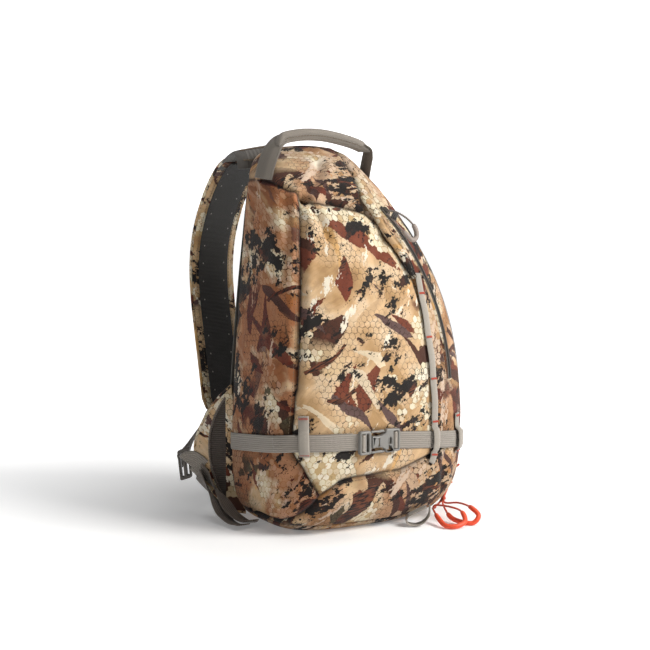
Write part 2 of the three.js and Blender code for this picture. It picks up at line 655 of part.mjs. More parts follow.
const firstPull = [
  v(145, -36, 58), v(141, -48, 34), v(134, -66, 10), v(131, -84, 3.4), v(130, -100, 3.4),
  v(120, -111, 3.4), v(107, -107, 3.4), v(104, -94, 3.4), v(112, -76, 6), v(130, -56, 26), v(141, -40, 52),
];
pull("main_pull_first", firstPull, [0.32, 0.66], "cord");
const secondPull = [
  v(139, -33, 34), v(131, -46, 15), v(113, -60, 5), v(98, -76, 3.4), v(95, -90, 3.4),
  v(86, -102, 3.4), v(74, -98, 3.4), v(74, -86, 3.4), v(88, -72, 3.4), v(112, -53, 7), v(134, -38, 26),
];
pull("main_pull_second", secondPull, [0.3, 0.66], "cord");

export default bag;
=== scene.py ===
"""A stuffed sling bag of printed cloth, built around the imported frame. Metres, +Z up, front to -Y."""

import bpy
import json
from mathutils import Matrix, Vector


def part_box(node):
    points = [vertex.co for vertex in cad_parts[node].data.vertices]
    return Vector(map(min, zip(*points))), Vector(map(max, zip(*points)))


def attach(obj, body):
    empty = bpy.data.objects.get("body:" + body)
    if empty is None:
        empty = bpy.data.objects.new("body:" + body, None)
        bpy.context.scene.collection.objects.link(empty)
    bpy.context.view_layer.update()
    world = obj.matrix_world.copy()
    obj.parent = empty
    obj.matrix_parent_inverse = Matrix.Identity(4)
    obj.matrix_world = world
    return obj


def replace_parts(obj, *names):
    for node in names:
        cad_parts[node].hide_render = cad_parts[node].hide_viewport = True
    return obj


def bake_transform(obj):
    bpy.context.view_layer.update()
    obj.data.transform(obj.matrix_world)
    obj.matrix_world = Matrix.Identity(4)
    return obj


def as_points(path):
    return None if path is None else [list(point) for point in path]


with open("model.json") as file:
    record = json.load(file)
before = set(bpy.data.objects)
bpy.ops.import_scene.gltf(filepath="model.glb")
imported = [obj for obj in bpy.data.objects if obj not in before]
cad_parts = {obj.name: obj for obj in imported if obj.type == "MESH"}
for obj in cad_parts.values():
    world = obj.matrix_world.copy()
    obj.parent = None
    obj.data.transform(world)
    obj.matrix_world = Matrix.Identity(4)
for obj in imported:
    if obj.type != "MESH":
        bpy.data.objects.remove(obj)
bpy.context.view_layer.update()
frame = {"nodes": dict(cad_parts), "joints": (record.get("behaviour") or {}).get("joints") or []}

import json
import math

import bmesh
import bpy
import numpy as np
from mathutils import Matrix, Vector, noise
from mathutils.kdtree import KDTree

MM = 0.001
NODES = frame["nodes"]
JOINTS = {joint["name"]: joint for joint in frame["joints"]}

# ---- camera ----
AZIMUTH, ELEVATION = math.radians(-30), math.radians(7)
DISTANCE = 1.9
FRAME_WIDTH = 0.802  # what the picture is wide, at that distance
AIM = Vector((-0.0267, 0.0154, 0.2407))
SENSOR = 36


def make_camera():
    back = Vector((
        math.sin(AZIMUTH) * math.cos(ELEVATION),
        -math.cos(AZIMUTH) * math.cos(ELEVATION),
        math.sin(ELEVATION),
    ))
    data = bpy.data.cameras.new("camera")
    data.sensor_width = SENSOR
    data.lens = SENSOR * DISTANCE / FRAME_WIDTH
    camera = bpy.data.objects.new("camera", data)
    camera.location = AIM + back * DISTANCE
    camera.rotation_euler = back.to_track_quat("Z", "Y").to_euler()
    bpy.context.scene.collection.objects.link(camera)
    bpy.context.scene.camera = camera


make_camera()

# ---- shader graphs ----


def srgb(text):
    """A hex colour as linear red, green, blue and alpha."""
    parts = [int(text[i:i + 2], 16) / 255 for i in (0, 2, 4)]
    return [c / 12.92 if c <= 0.04045 else ((c + 0.055) / 1.055) ** 2.4 for c in parts] + [1.0]


class Graph:
    """A material's nodes, made by calls that return sockets."""

    def __init__(self, name):
        self.material = bpy.data.materials.new(name)
        self.material.use_nodes = True
        self.tree = self.material.node_tree
        self.shader = self.tree.nodes["Principled BSDF"]

    def node(self, kind, inputs=(), **props):
        made = self.tree.nodes.new("ShaderNode" + kind)
        for key, value in props.items():
            setattr(made, key, value)
        for key, value in dict(inputs).items():
            if isinstance(value, bpy.types.NodeSocket):
                self.tree.links.new(value, made.inputs[key])
            else:
                made.inputs[key].default_value = value
        return made

    def math(self, operation, *values):
        return self.node("Math", enumerate(values), operation=operation).outputs[0]

    def times(self, first, second):
        return self.math("MULTIPLY", first, second)

    def plus(self, first, second):
        return self.math("ADD", first, second)

    def minus(self, first, second):
        return self.math("SUBTRACT", first, second)

    def sine(self, value):
        return self.math("SINE", value)

    def between(self, value, low, high):
        """low where value is 0, high where it is 1."""
        return self.node("MapRange", {0: value, 3: low, 4: high}).outputs[0]

    def place(self):
        """The surface's own place, in metres."""
        return self.node("TexCoord").outputs["Object"]

    def vec(self, operation, *values):
        made = self.node("VectorMath", enumerate(values), operation=operation)
        return made.outputs["Value" if operation in ("DOT_PRODUCT", "LENGTH") else 0]

    def split(self, vector):
        made = self.node("SeparateXYZ", {0: vector})
        return made.outputs[0], made.outputs[1], made.outputs[2]

    def join(self, x, y, z=0.0):
        return self.node("CombineXYZ", {0: x, 1: y, 2: z}).outputs[0]

    def attribute(self, name, output="Vector"):
        return self.node("Attribute", attribute_name=name).outputs[output]

    def noise(self, vector, scale, detail=2.0, rough=0.5, output=0):
        inputs = {"Vector": vector, "Scale": scale, "Detail": detail, "Roughness": rough}
        return self.node("TexNoise", inputs).outputs[output]

    def cells(self, vector, scale, output="Color", **props):
        return self.node("TexVoronoi", {"Vector": vector, "Scale": scale}, **props).outputs[output]

    def step(self, value, low, high):
        """0 below low, 1 above high, and a straight ramp between."""
        return self.node("MapRange", {0: value, 1: low, 2: high}, clamp=True).outputs[0]

    def ramp(self, value, stops, mode="LINEAR"):
        made = self.node("ValToRGB", {0: value})
        ramp = made.color_ramp
        ramp.interpolation = mode
        while len(ramp.elements) < len(stops):
            ramp.elements.new(1.0)
        for element, (place, colour) in zip(ramp.elements, stops):
            element.position = place
            element.color = srgb(colour)
        return made.outputs[0]

    def mix(self, share, first, second, blend="MIX"):
        made = self.node("Mix", data_type="RGBA", blend_type=blend)
        for key, value in ((0, share), (6, first), (7, second)):
            value = srgb(value) if isinstance(value, str) else value
            if isinstance(value, bpy.types.NodeSocket):
                self.tree.links.new(value, made.inputs[key])
            else:
                made.inputs[key].default_value = value
        return made.outputs[2]

    def finish(self, colour, height=None, depth=0.0002, roughness=0.8, **sockets):
        """Colour, relief and finish. A plain number goes straight on the shader's own socket."""
        settings = {"Base Color": colour, "Roughness": roughness, **sockets}
        for key, value in settings.items():
            if isinstance(value, bpy.types.NodeSocket):
                self.tree.links.new(value, self.shader.inputs[key])
            else:
                self.shader.inputs[key].default_value = value
        if height is not None:
            bump = self.node("Bump", {"Height": height, "Distance": depth, "Strength": 1.0})
            self.tree.links.new(bump.outputs[0], self.shader.inputs["Normal"])
        return self.material


def shade(graph, colour, value, low, high):
    """colour made darker and lighter by value, from low to high times."""
    factor = graph.between(value, low, high)
    return graph.mix(1.0, colour, graph.join(factor, factor, factor), "MULTIPLY")


CREAM, SAND, TAN, OCHRE = "e2d8c4", "d0bda0", "c6a57e", "ad8a60"
RUST, BROWN, BLACK, OLIVE = "6f3a28", "4a2c20", "1f1b19", "57503a"
THREAD_TURN = 5.4  # how far the weave's wave turns in a millimetre


ROOT3 = math.sqrt(3)
CELL = (7.3, 6.9 * 2 / ROOT3, 1.0)  # a honeycomb cell's width, and its height over a regular one's


def honeycomb(g, place):
    """(distance from a cell's middle, 0 to 0.5; the middle itself) for hexagonal cells."""
    scaled = g.vec("DIVIDE", place, CELL)
    half = (0.5, ROOT3 / 2, 1.0)
    low = tuple(-x for x in half)
    first = g.vec("WRAP", scaled, half, low)
    second = g.vec("WRAP", g.vec("SUBTRACT", scaled, half[:2] + (0.0,)), half, low)
    nearer = g.math("LESS_THAN", g.vec("LENGTH", first), g.vec("LENGTH", second))
    offset = g.node("Mix", {0: nearer, 4: second, 5: first}, data_type="VECTOR").outputs[1]
    ax, ay, _ = g.split(g.vec("ABSOLUTE", offset))
    slanted = g.plus(g.times(ax, 0.5), g.times(ay, ROOT3 / 2))
    return g.math("MAXIMUM", ax, slanted), g.vec("SUBTRACT", scaled, offset)


def rotated(g, place, degrees, along, across):
    """place turned in its plane, and measured in long and short steps."""
    x, y, _ = g.split(place)
    c, s = math.cos(math.radians(degrees)), math.sin(math.radians(degrees))
    first = g.plus(g.times(x, c / along), g.times(y, s / along))
    return g.join(first, g.plus(g.times(x, -s / across), g.times(y, c / across)))


class Print:
    """The camouflage print's own marks, drawn over one another on a graph. Its unit is a millimetre."""

    def __init__(self, g):
        self.g = g
        self.flat = g.vec("MULTIPLY", g.attribute("cloth"), (1000.0, 1000.0, 0.0))
        self.place = self.drifted(self.flat, 0.3, 5.0, 3.0)  # with ragged edges
        self.curved = self.drifted(self.place, 0.011, 60.0, 1.0)  # bent over a few centimetres

    def drifted(self, base, scale, reach, detail):
        g = self.g
        drift = g.vec("SUBTRACT", g.noise(self.flat, scale, detail, 0.6, "Color"), (0.5, 0.5, 0.5))
        moved = g.node("VectorMath", {0: drift, "Scale": reach}, operation="SCALE").outputs[0]
        return g.vec("ADD", base, moved)

    def blotch(self, degrees, stretch, scale, low, high, rough=0.74, shift=0.0):
        """Ragged fields, longer along one direction."""
        g = self.g
        moved = g.vec("ADD", rotated(g, self.place, degrees, stretch, 1.0), (shift, shift * 1.7, 0.0))
        return g.step(g.noise(moved, scale, 5.0, rough), low, high)

    def blades(self, under, degrees, along, across, stops, share):
        """Bent leaf blades in some cells; darker panels have more."""
        g = self.g
        cell = rotated(g, self.curved, degrees, along, across)
        pick, other, _ = g.split(g.cells(cell, 1.0, "Color"))
        denser = g.times(g.attribute("umber", "Fac"), 0.25)
        shown = g.math("GREATER_THAN", g.plus(pick, denser), 1 - share)
        body = shade(g, g.ramp(other, stops, "CONSTANT"), g.noise(cell, 1.3, 2.0), 0.62, 1.36)
        return g.mix(shown, under, body)

    def ground(self):
        """The pale ground, with blades, rusty fields and pale fields over it."""
        g = self.g
        colour = g.ramp(g.noise(self.flat, 0.015, 3.0, 0.55), [
            (0.30, "8d6a48"), (0.40, OCHRE), (0.50, TAN), (0.58, "d0b797"), (0.66, TAN), (0.76, "a07a52"),
        ])
        grain = g.noise(rotated(g, self.curved, 52, 46, 2.6), 1.0, 3.0, 0.65)
        colour = shade(g, colour, grain, 0.66, 1.34)
        colour = self.blades(colour, 60, 58, 17, [
            (0.0, TAN), (0.20, "6a3423"), (0.34, "c69c66"), (0.52, BROWN), (0.70, "8a7468"),
            (0.80, OLIVE), (0.9, RUST),
        ], 0.22)
        colour = self.blades(colour, -40, 50, 12, [
            (0.0, SAND), (0.25, "5d4743"), (0.42, RUST), (0.60, OCHRE), (0.80, BROWN),
        ], 0.20)
        rusty = g.step(g.noise(self.drifted(self.place, 0.04, 18.0, 3.0), 0.0105, 2.0, 0.6), 0.62, 0.66)
        earth = g.mix(self.blotch(20, 1.6, 0.06, 0.45, 0.6), RUST, BROWN)
        colour = g.mix(g.times(rusty, 0.92), colour, earth)
        pale = g.step(g.noise(self.drifted(self.place, 0.05, 9.0, 2.0), 0.012, 1.0, 0.5), 0.60, 0.66)
        return g.mix(g.times(pale, 0.8), colour, "c9ad86")

    def comb(self, colour):
        """Honeycomb: thin outlines here and there, and torn patches of filled cells."""
        g = self.g
        edge, middle = honeycomb(g, self.place)
        centre = g.vec("MULTIPLY", middle, (7.3, 7.97, 0.0))
        line = g.step(edge, 0.435, 0.47)
        faint = g.times(line, g.step(g.noise(centre, 0.016, 2.0), 0.47, 0.53))
        colour = g.mix(g.times(faint, 0.75), colour, "2c211a")
        patch = g.noise(g.vec("ADD", centre, (310.0, 77.0, 0.0)), 0.0098, 3.0, 0.55)
        torn = g.minus(1.0, self.blotch(58, 2.6, 0.045, 0.575, 0.59, shift=90.0))
        cell = g.ramp(g.noise(centre, 0.12, 2.0, 0.7), [
            (0.34, "b99d70"), (0.44, SAND), (0.50, "d8ccae"), (0.62, CREAM),
        ])
        cell = shade(g, cell, g.noise(self.flat, 0.3, 3.0, 0.6), 0.84, 1.10)
        outline = g.mix(g.step(g.noise(centre, 0.02, 2.0), 0.40, 0.52), "4a3626", "b39667")
        shown = g.times(g.math("GREATER_THAN", patch, 0.535), torn)
        return g.mix(shown, colour, g.mix(line, cell, outline))

    def marks(self, colour):
        """Pale swirls, black blotches and dark flecks."""
        g = self.g
        swirl = self.blotch(64, 3.4, 0.026, 0.60, 0.612, shift=40.0)
        colour = g.mix(swirl, colour, shade(g, CREAM, g.noise(self.flat, 0.08), 0.8, 1.08))
        black = self.blotch(38, 1.7, 0.019, 0.553, 0.566, 0.76, shift=17.0)
        colour = g.mix(black, colour, g.mix(self.blotch(10, 1.0, 0.05, 0.36, 0.46), BROWN, BLACK))
        return g.mix(self.blotch(70, 3.0, 0.085, 0.645, 0.655, 0.8, shift=63.0), colour, "2a211c")

    def twigs(self, colour):
        """Long wavering twigs with light bark, and dots."""
        g, flat = self.g, self.flat
        _, rise, _ = g.split(rotated(g, self.curved, 24, 1.0, 1.0))
        bend = g.plus(g.math("DIVIDE", rise, 72.0), g.math("DIVIDE", g.noise(flat, 0.01, 1.0), 0.4))
        twig = g.math("ABSOLUTE", g.minus(g.math("FRACT", bend), 0.5))
        band = g.minus(1.0, g.step(twig, 0.045, 0.055))
        kept = g.math("GREATER_THAN", g.noise(flat, 0.017, 1.0, 0.5), 0.55)
        bark = g.step(g.noise(rotated(g, flat, 24, 12, 2), 1.0, 2.0), 0.42, 0.58)
        colour = g.mix(g.times(band, kept), colour, g.mix(bark, BLACK, "6e3f2b"))
        size = g.times(g.step(g.noise(flat, 0.03), 0.48, 0.70), 0.30)
        return g.mix(g.math("LESS_THAN", g.cells(flat, 0.45, "Distance"), size), colour, "2b2119")


def camo_cloth():
    """Printed cloth. umber says how brown a panel's print is, groove how near a seam is, where the cloth is
    darkened as painted shade in the seam's groove.
    """
    g = Graph("camo_cloth")
    made = Print(g)
    flat = made.flat
    colour = made.twigs(made.marks(made.comb(made.ground())))
    umber = g.times(g.attribute("umber", "Fac"), g.step(g.noise(made.place, 0.018, 3.0, 0.6), 0.38, 0.50))
    colour = g.mix(umber, colour, g.mix(1.0, colour, "c08c70", "MULTIPLY"))
    # painted shade: the print darkened near each seam, for the shadow in the seam's groove
    colour = shade(g, colour, g.attribute("groove", "Fac"), 1.0, 0.25)
    colour = shade(g, colour, g.noise(flat, 0.02, 3.0), 0.86, 1.12)
    weft, warp, _ = g.split(flat)
    threads = g.times(g.sine(g.times(weft, THREAD_TURN)), g.sine(g.times(warp, THREAD_TURN)))
    relief = g.plus(threads, g.times(g.noise(flat, 0.5, 3.0), 2.6))
    sheen = {"Sheen Weight": 0.10, "Sheen Roughness": 0.5, "Specular IOR Level": 0.22}
    return g.finish(colour, relief, 0.00016, 0.88, **sheen)


def waves(length):
    """How far a wave of length millimetres turns in a metre."""
    return 1000 * 2 * math.pi / length


def webbing_cloth(name, base, lines=2.4, herringbone=False):
    """Woven tape. The cloth attribute holds metres along, metres across and the share across."""
    g = Graph(name)
    cloth = g.attribute("cloth")
    along, across, _ = g.split(cloth)
    run = g.times(along, waves(1.5))
    if herringbone:
        turn = g.math("PINGPONG", g.times(across, 1000.0), 2.6)
        run = g.plus(run, g.times(turn, 3.4))
    height = g.plus(g.times(g.sine(run), 0.5), g.sine(g.times(across, waves(lines))))
    fuzz = g.noise(cloth, 900.0, 3.0, 0.7)
    # painted shade and highlight: the colour darker in the weave's hollows and lighter on its ridges, from
    # the bump's own height
    colour = shade(g, base, height, 0.80, 1.12)
    colour = shade(g, colour, fuzz, 0.86, 1.14)
    colour = shade(g, colour, g.noise(cloth, 30.0, 2.0), 0.9, 1.08)
    sheen = {"Sheen Weight": 0.25, "Specular IOR Level": 0.4}
    return g.finish(colour, g.plus(height, fuzz), 0.00022, 0.62, **sheen)


HOLE_ROWS = 0.018  # between the rows of holes in the strap's mesh


def ribbed_mesh(name, base, pitch, holes=0.0):
    """Spacer mesh with ribs pitch millimetres apart, and rows of holes if wanted, painted pale grey as light
    showing through them.
    """
    g = Graph(name)
    cloth = g.attribute("cloth")
    ribs = g.sine(g.times(g.split(cloth)[0], waves(pitch)))
    knit = g.cells(cloth, 900.0, "Distance")
    # painted shade and highlight: the colour darker in the ribs' hollows and lighter on their tops
    colour = shade(g, base, ribs, 0.72, 1.16)
    colour = shade(g, colour, g.noise(cloth, 60.0, 3.0), 0.82, 1.15)
    height = g.plus(ribs, knit)
    if holes:
        far = (holes / 2, HOLE_ROWS / 2, 1.0)
        spot = g.vec("WRAP", g.vec("ADD", cloth, (0.0, HOLE_ROWS / 2, 0.0)), far, tuple(-x for x in far))
        x, y, _ = g.split(spot)
        gap = g.math("LESS_THAN", g.vec("LENGTH", g.join(x, y)), 0.0010)
        # painted light: the holes pale grey, for the light that shows through the perforations
        colour = g.mix(gap, colour, "a8a29a")
        height = g.minus(height, g.times(gap, 4.0))
    return g.finish(colour, height, 0.0003, 0.78, **{"Sheen Weight": 0.12})


def moulded(name, base, rough=0.42, metal=0.0):
    """Moulded plastic or lacquered metal, with a fine skin and handling marks."""
    g = Graph(name)
    place = g.place()
    skin = g.noise(place, 1800.0, 3.0, 0.6)
    wear = g.noise(place, 120.0, 3.0, 0.6)
    finish = g.between(wear, rough - 0.08, rough + 0.12)
    return g.finish(shade(g, base, wear, 0.86, 1.12), skin, 0.00006, finish, Metallic=metal)


def braided(name, base):
    """A braided cord, by metres along and turns round it."""
    g = Graph(name)
    along, turn, _ = g.split(g.attribute("cloth"))
    along, turn = g.times(along, 2600.0), g.times(turn, 12.0)
    height = g.math("MAXIMUM", g.sine(g.plus(along, turn)), g.sine(g.minus(along, turn)))
    # painted shade and highlight: the colour darker between the braid's strands and lighter on them
    return g.finish(shade(g, base, height, 0.72, 1.1), height, 0.00015, 0.6, **{"Sheen Weight": 0.2})


def thread(name, base):
    g = Graph(name)
    twist = g.noise(g.place(), 2500.0, 2.0)
    return g.finish(shade(g, base, twist, 0.75, 1.2), twist, 0.0001, 0.55)


def plain_cloth(name, base, scale, depth):
    g = Graph(name)
    place = g.place()
    grain = g.noise(place, scale, 3.0, 0.7)
    knit = g.cells(place, scale * 1.7, "Distance")
    colour = shade(g, base, g.noise(place, 25.0, 3.0), 0.84, 1.14)
    colour = shade(g, colour, grain, 0.86, 1.12)
    return g.finish(colour, g.plus(grain, knit), depth, 0.88, **{"Sheen Weight": 0.15})


def stage_paint(name, glow):
    """White paint that glows: by so much, or more and more away from the bag if glow is None."""
    g = Graph(name)
    place = g.place()
    colour = shade(g, "ededed", g.noise(place, 4.0, 2.0), 0.99, 1.01)
    g.finish(colour, None, 0.0, 0.8, **{"Specular IOR Level": 0.1})
    g.shader.inputs["Emission Color"].default_value = (1, 1, 1, 1)
    if glow is None:
        far = g.step(g.vec("LENGTH", place), 0.22, 0.85)
        g.tree.links.new(g.between(far, 0.16, 0.95), g.shader.inputs["Emission Strength"])
    else:
        g.shader.inputs["Emission Strength"].default_value = glow
    return g.material


CAMO = camo_cloth()
TAPE = webbing_cloth("webbing_tape", "91897f")
TAPE_FINE = webbing_cloth("webbing_fine", "9b9388", 25.0, True)
TAPE_DARK = webbing_cloth("webbing_dark", "6c6157", 3.0)
TAPE_HANDLE = webbing_cloth("webbing_handle", "756d63", 25.0, True)
YOKE = webbing_cloth("yoke_cloth", "514c46", 1.8)
LINING = webbing_cloth("lining_cloth", "4b4a44", 1.6)
LINER = ribbed_mesh("strap_liner_mesh", "2a2622", 1.8, 0.024)
AIR_MESH = ribbed_mesh("air_mesh", "3a342f", 2.2)
LENS_MESH = ribbed_mesh("lens_mesh", "453c35", 2.6)
PLASTIC = moulded("buckle_plastic", "787672")
DARK_PLASTIC = moulded("dark_plastic", "4a443d", 0.36)
STIFFENER = moulded("stiffener_sheet", "262626", 0.5)
METAL = moulded("slider_lacquer", "55504a", 0.34, 0.6)
ORANGE_CORD = braided("orange_cord", "e0502f")
GREY_CORD = braided("grey_cord", "7a6d66")
ORANGE_RUBBER = moulded("orange_rubber", "e2512f", 0.5)
GREY_RUBBER = moulded("grey_rubber", "857870", 0.5)
RED_THREAD = thread("red_thread", "b8402c")
DARK_THREAD = thread("dark_thread", "6d5b44")
WRAP = webbing_cloth("webbing_wrap", "91897f", 25.0)
ZIP_TAPE = webbing_cloth("zip_tape_cloth", "4a4238", 1.2)
KNOT = braided("knot_cord", "3a332e")
FOAM = plain_cloth("foam", "2b2825", 700.0, 0.0003)
INSIDE = plain_cloth("inside_cloth", "4a463f", 1100.0, 0.0001)
COIL = moulded("zip_coil", "2c2824", 0.4)

# ---- meshes ----


def add_object(name, mesh, material):
    mesh.materials.append(material)
    made = bpy.data.objects.new(name, mesh)
    bpy.context.scene.collection.objects.link(made)
    return made


def set_attribute(mesh, name, values, kind="FLOAT_VECTOR"):
    layer = mesh.attributes.new(name, kind, "POINT")
    layer.data.foreach_set("vector" if kind == "FLOAT_VECTOR" else "value", np.ravel(values))


def vectors(mesh, name):
    return np.array([d.vector for d in mesh.attributes[name].data])


def lay_cloth(piece, lay):
    """Changes a piece's places on its cloth by a function of them."""
    layer = piece.data.attributes["cloth"].data
    layer.foreach_set("vector", np.ravel(lay(vectors(piece.data, "cloth"))))


def solid(name, points, faces, material, cloth=None):
    """An object from points in metres and faces, with its cloth-plane places if given."""
    mesh = bpy.data.meshes.new(name)
    mesh.from_pydata([tuple(p) for p in points], [], faces)
    if cloth is not None:
        set_attribute(mesh, "cloth", np.asarray(cloth, float))
    mesh.polygons.foreach_set("use_smooth", [True] * len(mesh.polygons))
    mesh.update()
    return add_object(name, mesh, material)


def placed(piece, body, slot, *nodes):
    """Puts a piece on its body, for the nodes that it replaces. slot is not used."""
    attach(piece, body)
    if nodes:
        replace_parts(piece, *nodes)
    return piece


def thicken(piece, thickness):
    """Thickness inwards, for a cloth made as one layer."""
    layer = piece.modifiers.new("thickness", "SOLIDIFY")
    layer.thickness = thickness
    layer.offset = -1


def unit(vector):
    vector = np.asarray(vector, float)
    return vector / np.maximum(np.linalg.norm(vector, axis=-1, keepdims=True), 1e-12)


def lengths(line):
    """How far along a line each of its points is."""
    return np.concatenate([[0], np.cumsum(np.linalg.norm(np.diff(line, axis=0), axis=1))])


def rows_at(places, run, table):
    """A table's rows at places, between those that it has at run."""
    return np.stack([np.interp(places, run, column) for column in np.asarray(table).T], axis=-1)


def line_length(line):
    return float(lengths(line)[-1])


def beside(line, ups):
    """The direction across a line at each point."""
    return unit(np.cross(unit(np.gradient(line, axis=0)), ups))


def shares(count, places, values):
    """count values in a row, through values at places from 0 to 1."""
    return np.interp(np.linspace(0, 1, count), places, values)


def smooth_line(points, count):
    """count points evenly along a centripetal curve through points."""
    p = np.asarray(points, float)
    p = np.vstack([2 * p[0] - p[1], p, 2 * p[-1] - p[-2]])
    line = []
    for i in range(1, len(p) - 2):
        q = p[i - 1:i + 3]
        gaps = np.maximum(np.linalg.norm(np.diff(q, axis=0), axis=1) ** 0.5, 1e-9)
        t0, t1, t2, t3 = np.concatenate([[0], np.cumsum(gaps)])
        t = np.linspace(t1, t2, 24, endpoint=i == len(p) - 3)[:, None]
        a = (t1 - t) / (t1 - t0) * q[0] + (t - t0) / (t1 - t0) * q[1]
        b = (t2 - t) / (t2 - t1) * q[1] + (t - t1) / (t2 - t1) * q[2]
        c = (t3 - t) / (t3 - t2) * q[2] + (t - t2) / (t3 - t2) * q[3]
        d = (t2 - t) / (t2 - t0) * a + (t - t0) / (t2 - t0) * b
        e = (t3 - t) / (t3 - t1) * b + (t - t1) / (t3 - t1) * c
        line.append((t2 - t) / (t2 - t1) * d + (t - t1) / (t2 - t1) * e)
    line = np.vstack(line)
    run = lengths(line)
    return rows_at(np.linspace(0, run[-1], count), run, line)


def tube_faces(rows, ring, start=0):
    """Faces between closed rings of points."""
    corners = ((start + i * ring + k, start + i * ring + (k + 1) % ring)
               for i in range(rows - 1) for k in range(ring))
    return [(a, b, b + ring, a + ring) for a, b in corners]


def end_faces(rows, ring, start=0):
    last = start + (rows - 1) * ring
    return [tuple(range(start, start + ring))[::-1], tuple(range(last, last + ring))]


def sweep(name, points, ups, section, material, scale=None):
    """section (across, up, cloth across) swept along points; ups are its upper directions."""
    points, section = np.asarray(points, float), np.asarray(section, float)
    tangents = unit(np.gradient(points, axis=0))
    sides = unit(np.cross(tangents, np.broadcast_to(np.asarray(ups, float), points.shape)))
    ups = unit(np.cross(sides, tangents))
    count, ring = len(points), len(section)
    scale = np.ones((count, 2)) if scale is None else np.stack(scale, axis=1)
    body = (points[:, None] + sides[:, None] * (section[None, :, 0] * scale[:, :1])[..., None]
            + ups[:, None] * (section[None, :, 1] * scale[:, 1:])[..., None])
    half = max(abs(section[:, 0]).max(), 1e-9)
    cloth = [(s, c[2], c[0] / half) for s in lengths(points) for c in section]
    faces = tube_faces(count, ring) + end_faces(count, ring)
    return solid(name, body.reshape(-1, 3), faces, material, cloth)


def tape_section(width, thin, rows=10):
    """A flat webbing's outline, with rounded selvedges."""
    half = width / 2
    top = [(x, thin - 0.22 * thin * (abs(x) / half) ** 6) for x in np.linspace(half, -half, rows)]
    low = [(x, 0.22 * thin * (abs(x) / half) ** 6) for x in np.linspace(-half, half, rows)]
    outline = top + [(-half - 0.25 * thin, thin / 2)] + low + [(half + 0.25 * thin, thin / 2)]
    return [(x, y, x) for x, y in outline]


def circle(sides):
    return np.linspace(0, 2 * math.pi, sides, endpoint=False)


def power(value, exponent):
    return math.copysign(abs(value) ** exponent, value)


def round_section(radius, sides=12, up=None, turn=1.0):
    """An oval outline. Its cloth runs round it, turn for every radian."""
    up = radius if up is None else up
    return [(radius * math.cos(a), up * math.sin(a), a * turn) for a in circle(sides)]


def flat_section(half, square, thick, lift, sides):
    """An outline with straight sides and soft corners. Its cloth runs straight across."""
    return [(half * power(math.cos(a), square), lift + thick * math.sin(a), half * math.cos(a))
            for a in circle(sides)]


def tape(name, points, ups, width, thickness, material, body, *nodes, slot="webbing"):
    return placed(sweep(name, points, ups, tape_section(width, thickness), material), body, slot, *nodes)


STITCH = ((0.0, -0.6), (0.25, 0.5), (0.75, 0.5), (1.0, -0.6))  # shares of its length, lifts in radii


SEAM_STITCH = (0.0042, 0.0027, 0.00034)  # pitch, length, the thread's radius
HANDLE_STITCH = (0.0040, 0.0027, 0.00032)
STRAP_STITCH = (0.0044, 0.0028, 0.00034)


def thread_run(name, points, ups, stitch, body, slot="webbing"):
    """A row of stitches along points: each a short thread that dips at both ends."""
    pitch, length, radius = stitch
    line, ups = np.asarray(points, float), np.broadcast_to(np.asarray(ups, float), (len(points), 3))
    run = lengths(line)
    sides = 6
    verts, faces = [], []
    for s in np.arange(pitch / 2, run[-1] - length, pitch):
        faces += tube_faces(len(STITCH), sides, len(verts)) + end_faces(len(STITCH), sides, len(verts))
        up = unit(rows_at(s, run, ups))
        for share, lift in STITCH:
            here = s + share * length
            ahead = unit(rows_at(here + 1e-4, run, line) - rows_at(here - 1e-4, run, line))
            side = unit(np.cross(ahead, up))
            middle = rows_at(here, run, line) + up * radius * lift
            verts += [middle + (side * math.cos(a) + up * math.sin(a)) * radius for a in circle(sides)]
    return placed(solid(name, verts, faces, DARK_THREAD), body, slot)


TACK_STEP, TACK_HALF = 0.0007, 0.0010  # a bartack's step along it, and half its width


def bartack(name, centre, along, up, length, material):
    """A dense zigzag of thread, 2 mm wide and length long, on a strap."""
    along, up = unit(along), unit(up)
    side = unit(np.cross(along, up))
    turns = int(length / TACK_STEP)
    line = [centre + along * length * (i / turns - 0.5) + side * (TACK_HALF if i % 2 else -TACK_HALF)
            + up * 0.0006 for i in range(turns + 1)]
    placed(sweep(name, line, up, round_section(0.0005, 6), material), "bag", "webbing")


def plate(name, outline, holes, depth, round_edge, material, place):
    """A moulded plate: outline and holes in its plane, depth thick, its edges rounded."""
    curve = bpy.data.curves.new(name, "CURVE")
    curve.dimensions = "2D"
    curve.fill_mode = "BOTH"
    for ring in [outline, *holes]:
        spline = curve.splines.new("POLY")
        spline.points.add(len(ring) - 1)
        for point, (x, y) in zip(spline.points, ring):
            point.co = (x, y, 0, 1)
        spline.use_cyclic_u = True
    curve.extrude = depth / 2 - round_edge
    curve.bevel_depth = round_edge
    curve.bevel_resolution = 2
    curve.offset = -round_edge
    shape = bpy.data.objects.new(name + "_curve", curve)
    bpy.context.scene.collection.objects.link(shape)
    mesh = bpy.data.meshes.new_from_object(shape)
    bpy.data.objects.remove(shape)
    set_attribute(mesh, "cloth", np.array([v.co for v in mesh.vertices]))
    mesh.transform(place)
    mesh.name = name
    mesh.polygons.foreach_set("use_smooth", [True] * len(mesh.polygons))
    mesh.set_sharp_from_angle(angle=math.radians(40))
    return add_object(name, mesh, material)


def rounded(corners, radius):
    """A polygon with its corners rounded, given in millimetres and made in metres."""
    corners = np.array(corners, float) * MM
    out = []
    for i, here in enumerate(corners):
        before, after = corners[i - 1], corners[(i + 1) % len(corners)]
        r = min(radius * MM, 0.45 * np.linalg.norm(before - here), 0.45 * np.linalg.norm(after - here))
        a, b = here + unit(before - here) * r, here + unit(after - here) * r
        for t in np.linspace(0, 1, 5):
            out.append(tuple((1 - t) ** 2 * a + 2 * t * (1 - t) * here + t * t * b))
    return out


